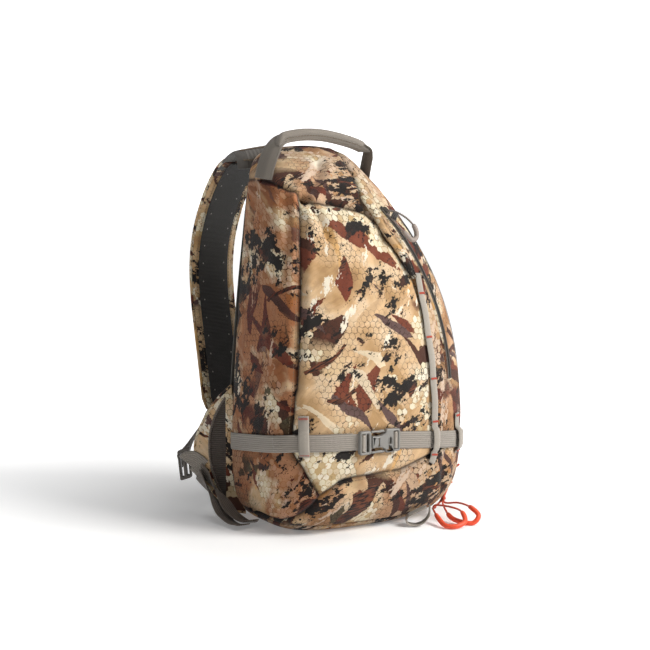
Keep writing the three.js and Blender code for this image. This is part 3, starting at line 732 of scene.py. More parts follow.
# ---- the body's surface, as the frame has it ----
STATIONS = np.array([
    (0, -104, 98, -48), (12, -119, 118, -70), (40, -131, 136, -88), (80, -134, 145, -94),
    (110, -134, 147, -94), (180, -130, 142, -90), (240, -125, 133, -80), (300, -119, 114, -66),
    (350, -113, 89, -48), (400, -107, 57, -22), (430, -101, 34, 0), (448, -90, 20, 20), (457, -70, 4, 36),
]) * MM
BACK, HEIGHT, DEEPEST = 0.080, 0.457, 0.62
CORNER_LEFT, CORNER_RIGHT, CORNER_BACK = 3.5, 2.6, 7


def limits(z):
    """Left, right and front limits of the body at heights z."""
    z = np.clip(np.atleast_1d(np.asarray(z, float)), 0, HEIGHT)
    levels = STATIONS[:, 0]
    i = np.clip(np.searchsorted(levels, z, "right") - 1, 0, len(levels) - 2)
    every = np.arange(len(levels))
    low, high = np.maximum(every - 1, 0), np.minimum(every + 1, len(levels) - 1)
    slopes = (STATIONS[high, 1:] - STATIONS[low, 1:]) / (levels[high] - levels[low])[:, None]
    h = (levels[i + 1] - levels[i])[:, None]
    t = (z - levels[i])[:, None] / h
    return (STATIONS[i, 1:] + (STATIONS[i + 1, 1:] - STATIONS[i, 1:]) * (3 * t * t - 2 * t ** 3)
            + (t - 2 * t * t + t ** 3) * h * slopes[i] + (t ** 3 - t * t) * h * slopes[i + 1])


def around(z, angle):
    """Points of the body at heights z and angles; 0 is the right, a quarter turn the back."""
    z, angle = np.broadcast_arrays(np.asarray(z, float), np.asarray(angle, float))
    left, right, front = limits(z.ravel()).T
    c, s = np.cos(angle.ravel()), np.sin(angle.ravel())
    square = np.where(s > 0, CORNER_BACK, np.where(c < 0, CORNER_LEFT, CORNER_RIGHT))
    widest = front + DEEPEST * (BACK - front)
    reach = np.where(s > 0, BACK - widest, widest - front)
    x = (left + right) / 2 + (right - left) / 2 * np.sign(c) * np.abs(c) ** (2 / square)
    y = widest + np.sign(s) * reach * np.abs(s) ** (2 / square)
    return np.stack([x, y, z.ravel()], axis=1).reshape(*z.shape, 3)


def front_y(x, z):
    left, right, front = limits(z).T
    middle, half = (left + right) / 2, (right - left) / 2
    share = np.minimum(np.abs(x - middle) / half, 0.995)
    square = np.where(x < middle, CORNER_LEFT, CORNER_RIGHT)
    widest = front + DEEPEST * (BACK - front)
    return widest - (widest - front) * (1 - share ** square) ** (1 / square)


def front_normal(x, z, step=0.003):
    dx = (front_y(x + step, z) - front_y(x - step, z)) / (2 * step)
    dz = (front_y(x, z + step) - front_y(x, z - step)) / (2 * step)
    return unit(np.stack([dx, -np.ones_like(dx), dz], axis=-1))


def on_front(pairs, out=0.0):
    """Points on the front at x and z, standing out by so much, and the cloth's directions there."""
    pairs = np.atleast_2d(np.asarray(pairs, float))
    x, z = pairs[:, 0], pairs[:, 1]
    normal = front_normal(x, z)
    return np.stack([x, front_y(x, z), z], axis=1) + normal * np.reshape(out, (-1, 1)), normal


QUARTERS = (50, 104, 104, 50)  # the grid's columns, from the back's middle round the left
FRONT_COLUMN = sum(QUARTERS[:2])


def ring_at(z):
    """One level's outline, evenly spaced in each quarter."""
    points = []
    for quarter, count in enumerate(QUARTERS):
        turns = np.linspace(90 + 90 * quarter, 180 + 90 * quarter, 400)
        curve = around(np.full(400, z), np.radians(turns))
        run = lengths(curve)
        points.append(rows_at(np.linspace(0, run[-1], count, endpoint=False), run, curve))
    return np.vstack(points)


# Seams in front view, metres.
SIDE_SEAM = np.array([
    (-90, 52), (-100, 68), (-112, 90), (-119, 105), (-118, 130), (-113, 180), (-104, 259), (-93, 340),
    (-80, 403),
]) * MM
UPPER_SEAM = np.array([
    (-220, 440), (-104, 420), (-92, 409), (-80, 403), (-66, 393), (-43, 392), (-17, 386), (3, 380),
]) * MM
ZIP_SEAM = np.array([
    (62, 88), (72, 117), (69, 154), (67, 220), (62, 268), (51, 308), (28, 344), (18, 366), (3, 380),
    (6, 420), (0, 520),
]) * MM
LOWER_SEAM = np.array([
    (-220, 12), (-116, 15), (-104, 28), (-90, 52), (-67, 68), (-47, 72), (15, 74), (62, 88), (97, 98),
    (130, 104), (220, 106),
]) * MM
BASE_SEAM = 0.009


def steep(seam):
    return lambda x, z: x - np.interp(z, seam[:, 1], seam[:, 0])


def level(seam):
    return lambda x, z: z - np.interp(x, seam[:, 0], seam[:, 1])


SIDE_TOP, ZIP_FOOT = SIDE_SEAM[-1, 1], ZIP_SEAM[0, 1]

CUTS = [  # what is 0 on each seam, and where it is cut
    (lambda x, z: z - BASE_SEAM, lambda x, z: z < 0.05),
    (level(LOWER_SEAM), lambda x, z: z < 0.2),
    (steep(SIDE_SEAM), lambda x, z: (z > SIDE_SEAM[0, 1]) & (z < SIDE_TOP) & (x < 0)),
    (level(UPPER_SEAM), lambda x, z: x < 0.004),
    (steep(ZIP_SEAM), lambda x, z: (z > ZIP_FOOT) & (x < 0.1)),
]


def panel_at(x, z):
    if z < BASE_SEAM:
        return "base_panel"
    if z < np.interp(x, LOWER_SEAM[:, 0], LOWER_SEAM[:, 1]):
        return "lower_front_panel"
    if x > np.interp(z, ZIP_SEAM[:, 1], ZIP_SEAM[:, 0]):
        return "right_side_panel"
    if z > np.interp(x, UPPER_SEAM[:, 0], UPPER_SEAM[:, 1]):
        return "top_panel"
    return "left_side_panel" if x < np.interp(z, SIDE_SEAM[:, 1], SIDE_SEAM[:, 0]) else "front_panel"


def seam_lines():
    """Each seam as points on the body, in order."""
    count = 1500
    turns = circle(count)
    lines = {"base": around(np.full(count, BASE_SEAM), turns)}
    for name, seam in (("lower", LOWER_SEAM), ("upper", UPPER_SEAM)):
        z = np.full(count, seam[:, 1].mean())
        for _ in range(30):
            z = 0.5 * z + 0.5 * np.interp(around(z, turns)[:, 0], seam[:, 0], seam[:, 1])
        points = around(z, turns)
        lines[name] = points[points[:, 0] < 0.003] if name == "upper" else points
    for name, seam, top in (("side", SIDE_SEAM, SIDE_TOP), ("zip", ZIP_SEAM, 0.455)):
        z = np.linspace(seam[0, 1], top, 260)
        x = np.interp(z, seam[:, 1], seam[:, 0])
        lines[name] = np.stack([x, front_y(x, z), z], axis=1)
    return lines


SEAMS = seam_lines()

# Folds that the stuffed cloth shows: a line in front view, how deep and how wide.
FOLDS = [
    ([(-38, 440), (-53, 420), (-74, 402)], 5.0, 6.0),
    ([(-76, 400), (-64, 376), (-58, 352)], 3.4, 5.0),
    ([(-96, 392), (-100, 360), (-108, 330)], 2.0, 7.0),
    ([(-78, 396), (-92, 330), (-103, 258), (-112, 180)], 3.0, 5.0),
    ([(20, 352), (4, 330), (-6, 300)], 1.6, 7.0),
    ([(64, 130), (50, 124), (38, 128)], 1.8, 5.0),
    ([(94, 92), (86, 70), (88, 44)], 2.4, 6.0),
    ([(-112, 84), (-122, 66), (-124, 48)], 1.8, 6.0),
    ([(-60, 66), (-38, 52), (-12, 48)], 1.5, 7.0),
    ([(-46, 396), (-20, 404), (0, 398)], 1.8, 6.0),
]


# ---- where the straps lie ----
STRAP, THIN = 0.020, 0.0018  # the webbing's width and thickness
STRAP_Z = 0.116
KEEPERS = {"left": (-0.107, 0.100, 0.148), "right": (0.111, 0.083, 0.132)}  # x, lower and upper end
DAISY = np.array([
    (60, 78), (63, 84), (64, 91), (65, 106), (65, 121), (65.5, 128), (65, 186), (63, 236), (60, 285),
    (60, 306),
]) * MM
DAISY_TACKS = (0.089, 0.128, 0.180, 0.231, 0.282)


def strap_height(x, y):
    """The compression strap's height: it sags a little to the right, and drops behind the left edge."""
    behind = np.where(x < -0.095, np.maximum(y + 0.070, 0), 0)
    return STRAP_Z - 0.012 * ((x + 0.095) / 0.178) ** 2 - 0.13 * behind


# ---- the body's cloth ----


def nearest(points, targets):
    tree = KDTree(len(targets))
    for i, target in enumerate(targets):
        tree.insert(Vector(target), i)
    tree.balance()
    return np.array([tree.find(Vector(p))[2] for p in points])


def body_grid():
    """The body's rings, closed at the top and bottom by shrinking ones, and their cloth places."""
    levels = np.concatenate([np.linspace(0.0, 0.020, 14)[:-1], np.linspace(0.020, HEIGHT, 190)])
    rings, flats = [], []
    for z in levels:
        ring = ring_at(z)
        run = lengths(ring)
        rings.append(ring)
        flats.append(np.stack([run - run[FRONT_COLUMN], np.full(len(ring), z)], axis=1))

    def cap(ring, flat, rise, sign):
        middle = ring.mean(axis=0)
        for share in np.linspace(0.06, 1.0, 14):
            inner = ring + (middle - ring) * share
            inner[:, 2] += rise * math.sin(share * math.pi / 2)
            yield inner, np.stack([flat[:, 0] * (1 - share), flat[:, 1] + sign * 0.05 * share], axis=1)

    top = list(cap(rings[-1], flats[-1], 0.003, 1))
    low = list(cap(rings[0], flats[0], 0.0, -1))[::-1]
    every_ring, every_flat = zip(*low, *zip(rings, flats), *top)
    return np.array(every_ring), np.array(every_flat)


def grid_normals(grid):
    du = np.roll(grid, -1, axis=1) - np.roll(grid, 1, axis=1)
    normals = unit(np.cross(du, np.gradient(grid, axis=0)))
    middle = grid[len(grid) // 2]
    return normals * np.sign((normals[len(grid) // 2] * (middle - middle.mean(axis=0))).sum())


CLOTH_FRAMES = 20


def simulate(obj, pins):
    """Cloth blown up from inside, held at pins: where its points go."""
    group = obj.vertex_groups.new(name="held")
    group.add([int(i) for i in np.flatnonzero(pins)], 1.0, "REPLACE")
    cloth = obj.modifiers.new("cloth", "CLOTH")
    settings = cloth.settings
    settings.vertex_group_mass = "held"
    settings.quality = 6
    settings.mass = 0.25
    settings.tension_stiffness = settings.compression_stiffness = 12
    settings.shear_stiffness = 4
    settings.bending_stiffness = 0.4
    settings.use_pressure = True
    settings.uniform_pressure_force = 4.0
    settings.shrink_min = -0.02
    settings.effector_weights.gravity = 0
    cloth.point_cache.frame_start, cloth.point_cache.frame_end = 1, CLOTH_FRAMES
    scene = bpy.context.scene
    for number in range(1, CLOTH_FRAMES + 1):
        scene.frame_set(number)
    done = obj.evaluated_get(bpy.context.evaluated_depsgraph_get())
    moved = np.array([v.co for v in done.data.vertices])
    obj.modifiers.remove(cloth)
    scene.frame_set(1)
    return moved


def limited(shift, most):
    """Moves made no longer than most."""
    size = np.linalg.norm(shift, axis=1, keepdims=True)
    return shift * np.minimum(1, most / np.maximum(size, 1e-9))


def stuffing(grid, seam_gap):
    """How far the stuffed cloth moves at each place of the grid, from a coarser simulation."""
    rows, columns = np.arange(0, len(grid), 3), np.arange(0, grid.shape[1], 3)
    coarse = grid[np.ix_(rows, columns)]
    high, wide = coarse.shape[:2]
    points = coarse.reshape(-1, 3)
    shell = solid("stuffing", points, tube_faces(high, wide) + end_faces(high, wide), CAMO)
    gap = seam_gap[np.ix_(rows, columns)].ravel()
    held = (gap < 0.005) | (points[:, 2] < 0.006) | (points[:, 1] > BACK - 0.004) | (points[:, 2] > 0.452)
    shift = limited(simulate(shell, held) - points, 0.006).reshape(high, wide, 3)
    bpy.data.objects.remove(shell)
    closed = np.concatenate([shift, shift[:, :1]], axis=1)
    places = np.append(columns, grid.shape[1])
    across = np.stack([rows_at(np.arange(grid.shape[1]), places, row) for row in closed])
    every = [rows_at(np.arange(len(grid)), rows, across[:, k]) for k in range(grid.shape[1])]
    return np.stack(every, axis=1)


def wobble(points, scale, seed):
    """Smooth noise from -1 to 1 at points."""
    offset = Vector((seed * 7.1, seed * 3.3, seed * 5.7))
    return np.array([noise.noise(Vector(p) * scale + offset) for p in points])


def smooth_step(t):
    t = np.clip(t, 0, 1)
    return t * t * (3 - 2 * t)


def bell(distance, width):
    return np.exp(-((distance / width) ** 2))


def puffed(points, gap):
    """How far the cloth stands out, in millimetres: seams' grooves, puffs, puckers, folds."""
    lift = 2.6 * (1 - np.exp(-gap / 0.018)) - 3.4 * bell(gap, 0.0030) - 0.9
    lift += 1.1 * np.exp(-gap / 0.011) * wobble(points, 95, 1) * (1 - np.exp(-gap / 0.003))
    lift += 0.8 * wobble(points * [1, 1, 0.45], 34, 2) + 0.35 * wobble(points, 80, 3)
    for line, depth, width in FOLDS:
        fold, _ = on_front(smooth_line(np.array(line) * MM, 60))
        distance = nearest(points, fold) / MM
        lift -= depth * (1.5 * bell(distance, width) - 0.45 * bell(distance - 2.2 * width, width))
    return lift * np.where(points[:, 1] < 0.04, 1.0, 0.3) * np.clip(points[:, 2] / 0.02, 0, 1)


def held_down(points):
    """How firmly the straps and the handle hold the cloth down, from 0 to 1."""
    x, y, z = points.T
    front = y < 0
    beyond = np.abs(z - strap_height(x, y)) - 0.0102
    held = smooth_step(1 - beyond / 0.0075) * (y < 0.062)
    beyond = np.abs(x - np.interp(z, DAISY[:, 1], DAISY[:, 0])) - 0.0052
    held = np.maximum(held, smooth_step(1 - beyond / 0.004) * front * (z > 0.076) * (z < 0.308))
    for middle, low, high in KEEPERS.values():
        beside_it = smooth_step(1 - (np.abs(x - middle) - 0.0064) / 0.003)
        held = np.maximum(held, beside_it * front * (z > low - MM) * (z < high + MM))
    return np.maximum(held, 0.8 * smooth_step((z - 0.436) / 0.012) * smooth_step((0.045 - y) / 0.02))


def shaped(points, normals, gap, stretch):
    """Body points moved to where the stuffed, sewn and strapped cloth lies."""
    move = stretch + normals * (puffed(points, gap) * MM)[:, None]
    out = (move * normals).sum(axis=1)
    drop = np.maximum(out + 0.0004, 0) * held_down(points)
    return points + move - normals * drop[:, None]


def cut_mesh(mesh_object, cuts):
    """Cuts a mesh where each field changes sign, so that panels end exactly on their seams."""
    bm = bmesh.new()
    bm.from_mesh(mesh_object.data)
    for field, valid in cuts:
        co = np.array([v.co for v in bm.verts])
        value = field(co[:, 0], co[:, 2])
        inside = valid(co[:, 0], co[:, 2])
        bm.verts.ensure_lookup_table()
        made = []
        for edge in list(bm.edges):
            a, b = edge.verts
            fa, fb = value[a.index], value[b.index]
            if fa * fb < 0 and inside[a.index] and inside[b.index]:
                made.append((edge, a, fa / (fa - fb)))
        fresh = [bmesh.utils.edge_split(edge, vert, share)[1] for edge, vert, share in made]
        bm.verts.index_update()
        bmesh.ops.connect_verts(bm, verts=fresh)
        bm.verts.index_update()
    bm.to_mesh(mesh_object.data)
    bm.free()


PRINT = {  # how each panel's print lies: degrees, metres along and up; and how far it is tinted brown
    "left_side_panel": ((-8, 0.31, 0.13), 0.9), "top_panel": ((22, 0.83, 0.40), 0.5),
    "front_panel": ((4, 0.0, 0.0), 0.0), "right_side_panel": ((-18, 1.35, 0.22), 0.5),
    "lower_front_panel": ((14, 0.62, 0.71), 0.5), "base_panel": ((0, 1.9, 0.5), 0.5),
}


def turned(flat, turn):
    degrees, dx, dy = turn
    c, s = math.cos(math.radians(degrees)), math.sin(math.radians(degrees))
    x, y = flat[:, 0], flat[:, 1]
    return np.stack([x * c - y * s + dx, x * s + y * c + dy, np.zeros(len(x))], axis=1)


def open_body(grid, normals):
    """The whole body as one mesh, open at the back, where the back panel goes."""
    rows, columns = grid.shape[:2]
    points = grid.reshape(-1, 3)
    i, k = rows // 2, columns // 2
    facing = np.cross(grid[i, k + 1] - grid[i, k], grid[i + 1, k] - grid[i, k])
    wound = 1 if facing @ normals[i, k] > 0 else -1
    x, y, z = points.T
    left, right, _ = np.repeat(limits(grid[:, 0, 2]), columns, axis=0).T
    behind = (y > BACK - 0.0006) & (left + 0.014 < x) & (x < right - 0.014) & (0.016 < z) & (z < 0.436)
    faces = [face[::wound] for face in tube_faces(rows, columns) if not behind[face[0]]]
    return solid("body", points, faces, CAMO)


def make_body():
    grid, flats = body_grid()
    normals = grid_normals(grid)
    every_seam = np.vstack(list(SEAMS.values()))
    gap = nearest(grid.reshape(-1, 3), every_seam).reshape(grid.shape[:2])
    stretch = stuffing(grid, gap)
    whole = open_body(grid, normals)
    mesh = whole.data
    set_attribute(mesh, "flat", np.concatenate([flats, np.zeros_like(flats[:, :, :1])], axis=2))
    set_attribute(mesh, "stretch", stretch)
    set_attribute(mesh, "outward", normals)
    cut_mesh(whole, CUTS)
    base = np.array([v.co for v in mesh.vertices])
    flat, stretch, outward = (vectors(mesh, name) for name in ("flat", "stretch", "outward"))
    distance = nearest(base, every_seam)
    final = shaped(base, unit(outward), distance, stretch)
    final[:, 2] = np.maximum(final[:, 2], 0.0002)
    groups = {}
    for face in mesh.polygons:
        centre = base[list(face.vertices)].mean(axis=0)
        groups.setdefault(panel_at(centre[0], centre[2]), []).append(tuple(face.vertices))
    for name, members in groups.items():
        used = sorted({i for f in members for i in f})
        order = {old: new for new, old in enumerate(used)}
        place = flat[used]
        if name == "top_panel":  # laid out from above, because rings are short there
            place = np.stack([base[used, 0], base[used, 2] + base[used, 1]], axis=1)
        turn, umber = PRINT[name]
        faces = [tuple(order[i] for i in f) for f in members]
        piece = solid(name + "_cloth", final[used], faces, CAMO, turned(place, turn))
        # groove: nearness to a seam, which the cloth's material darkens as painted shade
        set_attribute(piece.data, "groove", bell(distance[used], 0.0022), "FLOAT")
        set_attribute(piece.data, "umber", np.full(len(used), umber), "FLOAT")
        thicken(piece, 0.0022)
        placed(piece, "bag", "camo_fabric", name)
    bpy.data.objects.remove(whole)


def make_seams():
    """Stitch rows beside the seams."""
    rows = [("side", SEAMS["side"][:258], -0.0032, 0.0002), ("zip", SEAMS["zip"][:226], -0.0034, 0.0002)]
    for name, low, high in (("lower", -0.088, 0.128), ("upper", -0.078, 0.0)):
        line = SEAMS[name]
        line = line[(line[:, 0] > low) & (line[:, 0] < high) & (line[:, 1] < 0.02)]
        rows.append((name, line[np.argsort(line[:, 0])], 0.0034, 0.0003))
    for name, line, offset, out in rows:
        normal = front_normal(line[:, 0], line[:, 2])
        row = line + beside(line, normal) * offset + normal * out
        thread_run(f"{name}_stitches", row, normal, SEAM_STITCH, "bag", "camo_fabric")


# ---- straps on the front ----


def around_strap(start, end, count, out):
    """The compression strap's middle line between two angles, and the cloth's directions."""
    turns = np.radians(np.linspace(start, end, count))
    flat = around(np.full(count, STRAP_Z), turns)
    z = strap_height(flat[:, 0], flat[:, 1])
    along = around(z, turns + 0.02) - around(z, turns - 0.02)
    normal = unit(np.stack([along[:, 1], -along[:, 0], np.zeros(count)], axis=1))
    return smooth_line((around(z, turns) + normal * out)[::4], count), normal


def angle_at(x):
    low, high = math.pi, 2 * math.pi
    for _ in range(50):
        middle = (low + high) / 2
        if around(np.array([0.116]), np.array([middle]))[0, 0] < x:
            low = middle
        else:
            high = middle
    return math.degrees(low)


def tack_on(name, line, normals, z, length):
    """A bartack across an upright tape's face, where its line passes height z."""
    i = int(np.abs(line[:, 2] - z).argmin())
    along = unit(line[min(i + 1, len(line) - 1)] - line[max(i - 1, 0)])
    place = line[i] + normals[i] * (THIN / 2 + 0.0010)
    bartack(name, place, unit(np.cross(along, normals[i])), normals[i], length, RED_THREAD)


def buckled(name, line, normal, width):
    """Webbing swept along a line, its placing baked into its points."""
    made = sweep(name, line, normal, tape_section(width, THIN), TAPE)
    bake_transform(made)
    return made


def make_strap():
    """The compression strap: both lengths, and the laps over them."""
    line, normal = around_strap(157, angle_at(-0.0455), 120, 0.0004)
    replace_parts(buckled("strap_left_tape", line, normal, STRAP), "compression_strap_left")
    line, normal = around_strap(angle_at(0.004), 330, 100, 0.0004)
    tape("strap_right_tape", line, normal, STRAP, THIN, TAPE, "bag", "compression_strap_right")
    line, normal = around_strap(angle_at(0.112), 329, 40, 0.0023)
    tape("strap_right_fold", line, normal, STRAP - 0.001, THIN, TAPE, "bag")
    line, normal = around_strap(200, angle_at(-0.0415), 90, 0.0023)
    line += normal * 0.0022 * smooth_step((line[:, :1] + 0.0525) / 0.011)
    buckled("strap_left_lap", line, normal, STRAP - 0.0012)


def make_keepers():
    """Short tapes over the compression strap."""
    for name, (x, low, high) in KEEPERS.items():
        middle = float(strap_height(np.array(x), np.array(-0.09)))
        stops = [low, *(middle + d * MM for d in (-14.5, -10.5, -4, 4, 10.5, 14.5)), high]
        outs = np.array([0.9, 1.0, 4.6, 5.3, 5.3, 4.6, 1.0, 0.9]) * MM
        points, normal = on_front([(x, z) for z in stops], outs)
        line, normal = smooth_line(points, 50), unit(smooth_line(normal, 50))
        name = f"strap_keeper_{name}"
        tape(f"{name}_tape", line, normal, 0.012, THIN, TAPE_FINE, "bag", name)
        for z in (low + 0.0026, high - 0.0030):
            tack_on(f"{name}_tape_tack_{z:.3f}", line, normal, z, 0.0106)


def make_daisy():
    """The daisy chain: a tape that stands out between its tacks and over the strap."""
    z = np.linspace(DAISY[0, 1], DAISY[-1, 1], 150)
    x = np.interp(z, DAISY[:, 1], DAISY[:, 0])
    out = np.full(150, 0.0011)
    for low, high in zip(DAISY_TACKS, DAISY_TACKS[1:]):
        out += 0.0012 * np.sin(np.clip((z - low) / (high - low), 0, 1) * math.pi) ** 2
    over = np.abs(z - strap_height(x, np.full(150, -0.09)))
    out += 0.0030 * np.clip((0.0150 - over) / 0.004, 0, 1)
    points, normal = on_front(np.stack([x, z], axis=1), out)
    line, normal = smooth_line(points, 150), unit(smooth_line(normal, 150))
    tape("daisy_tape", line, normal, 0.0098, THIN, TAPE_FINE, "bag", "daisy_chain")
    for z in DAISY_TACKS:
        tack_on(f"daisy_tack_{z:.3f}", line, normal, z, 0.0092)


# ---- buckle ----
BUCKLE_Y = -0.0993
BUCKLE_Z = float(strap_height(-0.019, BUCKLE_Y))


def on_buckle(depth=0.0):
    """The buckle's plane: x stays, the outline's second place is height, and depth is to the front."""
    return Matrix(((1, 0, 0, 0), (0, 0, -1, BUCKLE_Y - depth), (0, 1, 0, BUCKLE_Z), (0, 0, 0, 1)))


def bar(x0, x1, half, radius):
    return rounded([(x0, -half), (x1, -half), (x1, half), (x0, half)], radius)


def mirrored(lower):
    """An outline from its lower half."""
    return lower + [(x, -z) for x, z in reversed(lower)]


def bar_wrap(name, x, wide, body, reach):
    """Webbing turned round a buckle's bar, in millimetres."""
    line = [(x * MM, BUCKLE_Y, BUCKLE_Z + z * MM) for z in np.linspace(-10.0, 10.0, 24)]
    ring = round_section(wide * MM, 20, reach * MM, 0.003)
    placed(sweep(name, line, (0, -1, 0), ring, WRAP), body, "webbing")


def make_buckle():
    holes = [bar(-44.6, -40.2, 10.9, 1.0), bar(-37.6, -34.6, 10.9, 1.0)]
    male = plate("buckle_male_frame", bar(-47, -31.2, 14.2, 3.4), holes, 0.0066, 0.0013, PLASTIC, on_buckle())
    placed(male, "buckle_male", "buckle_plastic", "buckle_male")
    bar_wrap("buckle_male_webbing", -41.5, 3.1, "buckle_male", 4.0)
    for name, sign in (("upper", 1), ("lower", -1)):
        stops = ((-30.6, 12.2), (-25.0, 12.4), (-19.0, 11.9), (-15.0, 12.4), (-12.2, 11.7))
        line = smooth_line([(x * MM, BUCKLE_Y, BUCKLE_Z + sign * z * MM) for x, z in stops], 24)
        width = shares(24, [0, 0.3, 0.75, 0.92, 1], [1.15, 0.9, 1.25, 1.2, 0.5])
        prong = sweep(f"prong_{name}_arm", line, (0, -1, 0), round_section(0.0014, 14, 0.0021), PLASTIC,
                      scale=(width, np.ones(24)))
        placed(prong, f"prong_{name}", "buckle_plastic", f"buckle_prong_{name}")
    outline = rounded(mirrored([(-30, -7.6), (-24, -6.6), (-17, -7.2), (-11.8, -9.8), (-10.8, -14.2),
                                (-4, -14.2), (8.8, -13.4)]), 1.7)
    holes = [rounded([(-28.2, -4.6), (-23.4, -4.6), (-22.4, 0), (-23.4, 4.6), (-28.2, 4.6)], 1.6),
             rounded(mirrored([(-5.6, -4.4), (-3.4, -3.4)]), 0.8), bar(-0.4, 5.8, 10.9, 1.0)]
    female = plate("buckle_female_plate", outline, holes, 0.0070, 0.0014, PLASTIC, on_buckle())
    placed(female, "bag", "buckle_plastic", "buckle_female")
    rib = rounded([(-20.5, -5), (-8, -10.6), (-8, 10.6), (-20.5, 5)], 2.0)
    placed(plate("buckle_female_rib", rib, [], 0.0010, 0.00035, PLASTIC, on_buckle(0.0036)), "bag",
           "buckle_plastic")
    bar_wrap("buckle_female_webbing", 2.8, 3.0, "bag", 4.2)


# ---- zips ----


def turn_about(joint, point, degrees):
    """A point turned about a joint's axis."""
    spin = Matrix.Rotation(math.radians(degrees), 3, Vector(joint["axis"]).normalized())
    centre = Vector(joint["pos_m"])
    return np.array(spin @ (Vector(point) - centre) + centre)


def outward_at(point):
    """The body's outward direction by a point."""
    count = 720
    turns = circle(count)
    ring = around(np.full(count, point[2]), turns)
    i = int(np.argmin(np.linalg.norm(ring - point, axis=1)))
    high, low = (around(np.array([point[2] + d]), turns[i:i + 1])[0] for d in (0.004, -0.004))
    return unit(np.cross(ring[(i + 2) % count] - ring[i - 2], high - low))


def zip_run(joint, node, low, high, count):
    """The slider's path as places at the teeth and the upper side there."""
    centre, axis = np.array(joint["pos_m"]), unit(joint["axis"])
    middle = np.array(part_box(node)).mean(axis=0)

    def outwards(place):
        return unit((place - centre) - axis * np.dot(place - centre, axis))

    start = turn_about(joint, middle, (low + high) / 2)
    face = outward_at(start)
    tilt = math.atan2(float(face @ axis), float(face @ outwards(start)))
    places = np.array([turn_about(joint, middle, turn) for turn in np.linspace(low, high, count)])
    ups = np.array([outwards(place) * math.cos(tilt) + axis * math.sin(tilt) for place in places])
    return places - ups * 0.0029, ups


def coil(name, points, ups, radius, pitch, material, body):
    """Zip teeth: a small coil along a path."""
    turns = int(line_length(points) / pitch)
    count = turns * 7
    place, up = smooth_line(points, count), unit(smooth_line(ups, count))
    a = np.linspace(0, turns * 2 * math.pi, count)
    line = place + beside(place, up) * (radius * 1.9 * np.cos(a))[:, None]
    line += up * (radius * np.sin(a))[:, None]
    placed(sweep(name, line, up, round_section(0.00042, 5), material), body, "zip_tape")


WELT = [  # the cloth beside the teeth: across, up, and its place on the cloth
    (0.0062, -0.0135, 0.0), (0.0058, -0.004, 0.010), (0.0050, -0.0014, 0.013), (0.0040, -0.0010, 0.014),
    (-0.0040, -0.0010, 0.022), (-0.0050, -0.0014, 0.023), (-0.0058, -0.004, 0.026),
    (-0.0062, -0.0135, 0.036),
]


def make_zip(name, joint, node, low, high, count):
    points, ups = zip_run(JOINTS[joint], node, low, high, count)
    welt = sweep(f"{name}_welt", points, ups, WELT, CAMO)
    lay_cloth(welt, lambda cloth: cloth + [0.4, 0.9, 0])
    placed(welt, "bag", "camo_fabric", f"{name}_track")
    tape(f"{name}_tape", points - ups * 0.0012, ups, 0.0078, 0.0007, ZIP_TAPE, "bag", slot="zip_tape")
    coil(f"{name}_teeth", points, ups, 0.00085, 0.0014, COIL, "bag")


SLIDER = [(-6.6, -3.4), (0, -4.2), (6.6, -2.6), (6.6, 2.6), (0, 4.2), (-6.6, 3.4)]
BAIL = ((-5, 2.0), (-4.2, 3.8), (0, 4.4), (3.6, 3.8), (4.6, 2.0))  # along and up


def make_slider(joint, node):
    """A zip slider: two plates, the post between them, and the bail on top."""
    name, body = f"{node}_body", node
    points, ups = zip_run(JOINTS[joint], node, -1.0, 1.0, 3)
    centre, up = points[1], ups[1]
    along = unit(points[2] - points[0])
    side = np.cross(along, up)
    rows = [[*row] for row in zip(along, side, -up, centre)]
    place = Matrix(rows + [[0, 0, 0, 1]])
    pieces = []
    for part, thick, edge, z in (("top", 0.0012, 0.0004, 0.0016), ("low", 0.0010, 0.0003, -0.0004)):
        here = place @ Matrix.Translation((0, 0, z))
        pieces.append(plate(f"{name}_{part}", rounded(SLIDER, 1.8), [], thick, edge, METAL, here))
    post = [centre + up * 0.0002, centre + up * 0.002]
    bail = smooth_line([centre + (along * a + up * b) * MM for a, b in BAIL], 24)
    pieces.append(sweep(f"{name}_post", post, along, round_section(0.0013, 10), METAL))
    pieces.append(sweep(f"{name}_bail", bail, side, round_section(0.0009, 8), METAL))
    for piece in pieces:
        placed(piece, body, "slider_metal")
    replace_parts(pieces[0], node)


def make_flap():
    """The storm flap, rolled over the front zip's upper part, and its edge."""
    count = 80
    line = smooth_line(np.array([(1, 398), (12, 380), (22, 357), (40, 327), (51, 300)]) * MM, count)
    taper = shares(count, [0, 0.06, 0.85, 1], [0.45, 1, 1, 0.35])
    for name, shift, out, radius in (("roll", 0.0019, 0.0048, 0.0042), ("edge", -0.0042, 0.0032, 0.0030)):
        points, normal = on_front(line, out)
        thick = taper * (1 + 0.10 * wobble(points, 160, 5))
        roll = sweep(f"storm_flap_{name}", points + beside(points, normal) * shift, normal,
                     round_section(radius, 18, turn=radius), CAMO, scale=(thick, thick))
        placed(roll, "bag", "camo_fabric")
        if name == "roll":
            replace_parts(roll, "storm_flap")


def make_zips():
    make_zip("front_zip", "front_zip_run", "front_slider", -1.4, 36.9, 90)
    make_zip("main_zip", "main_zip_run_first", "main_slider_first", -51, 5.2, 130)
    make_slider("front_zip_run", "front_slider")
    make_slider("main_zip_run_first", "main_slider_first")
    make_slider("main_zip_run_second", "main_slider_second")
    make_flap()


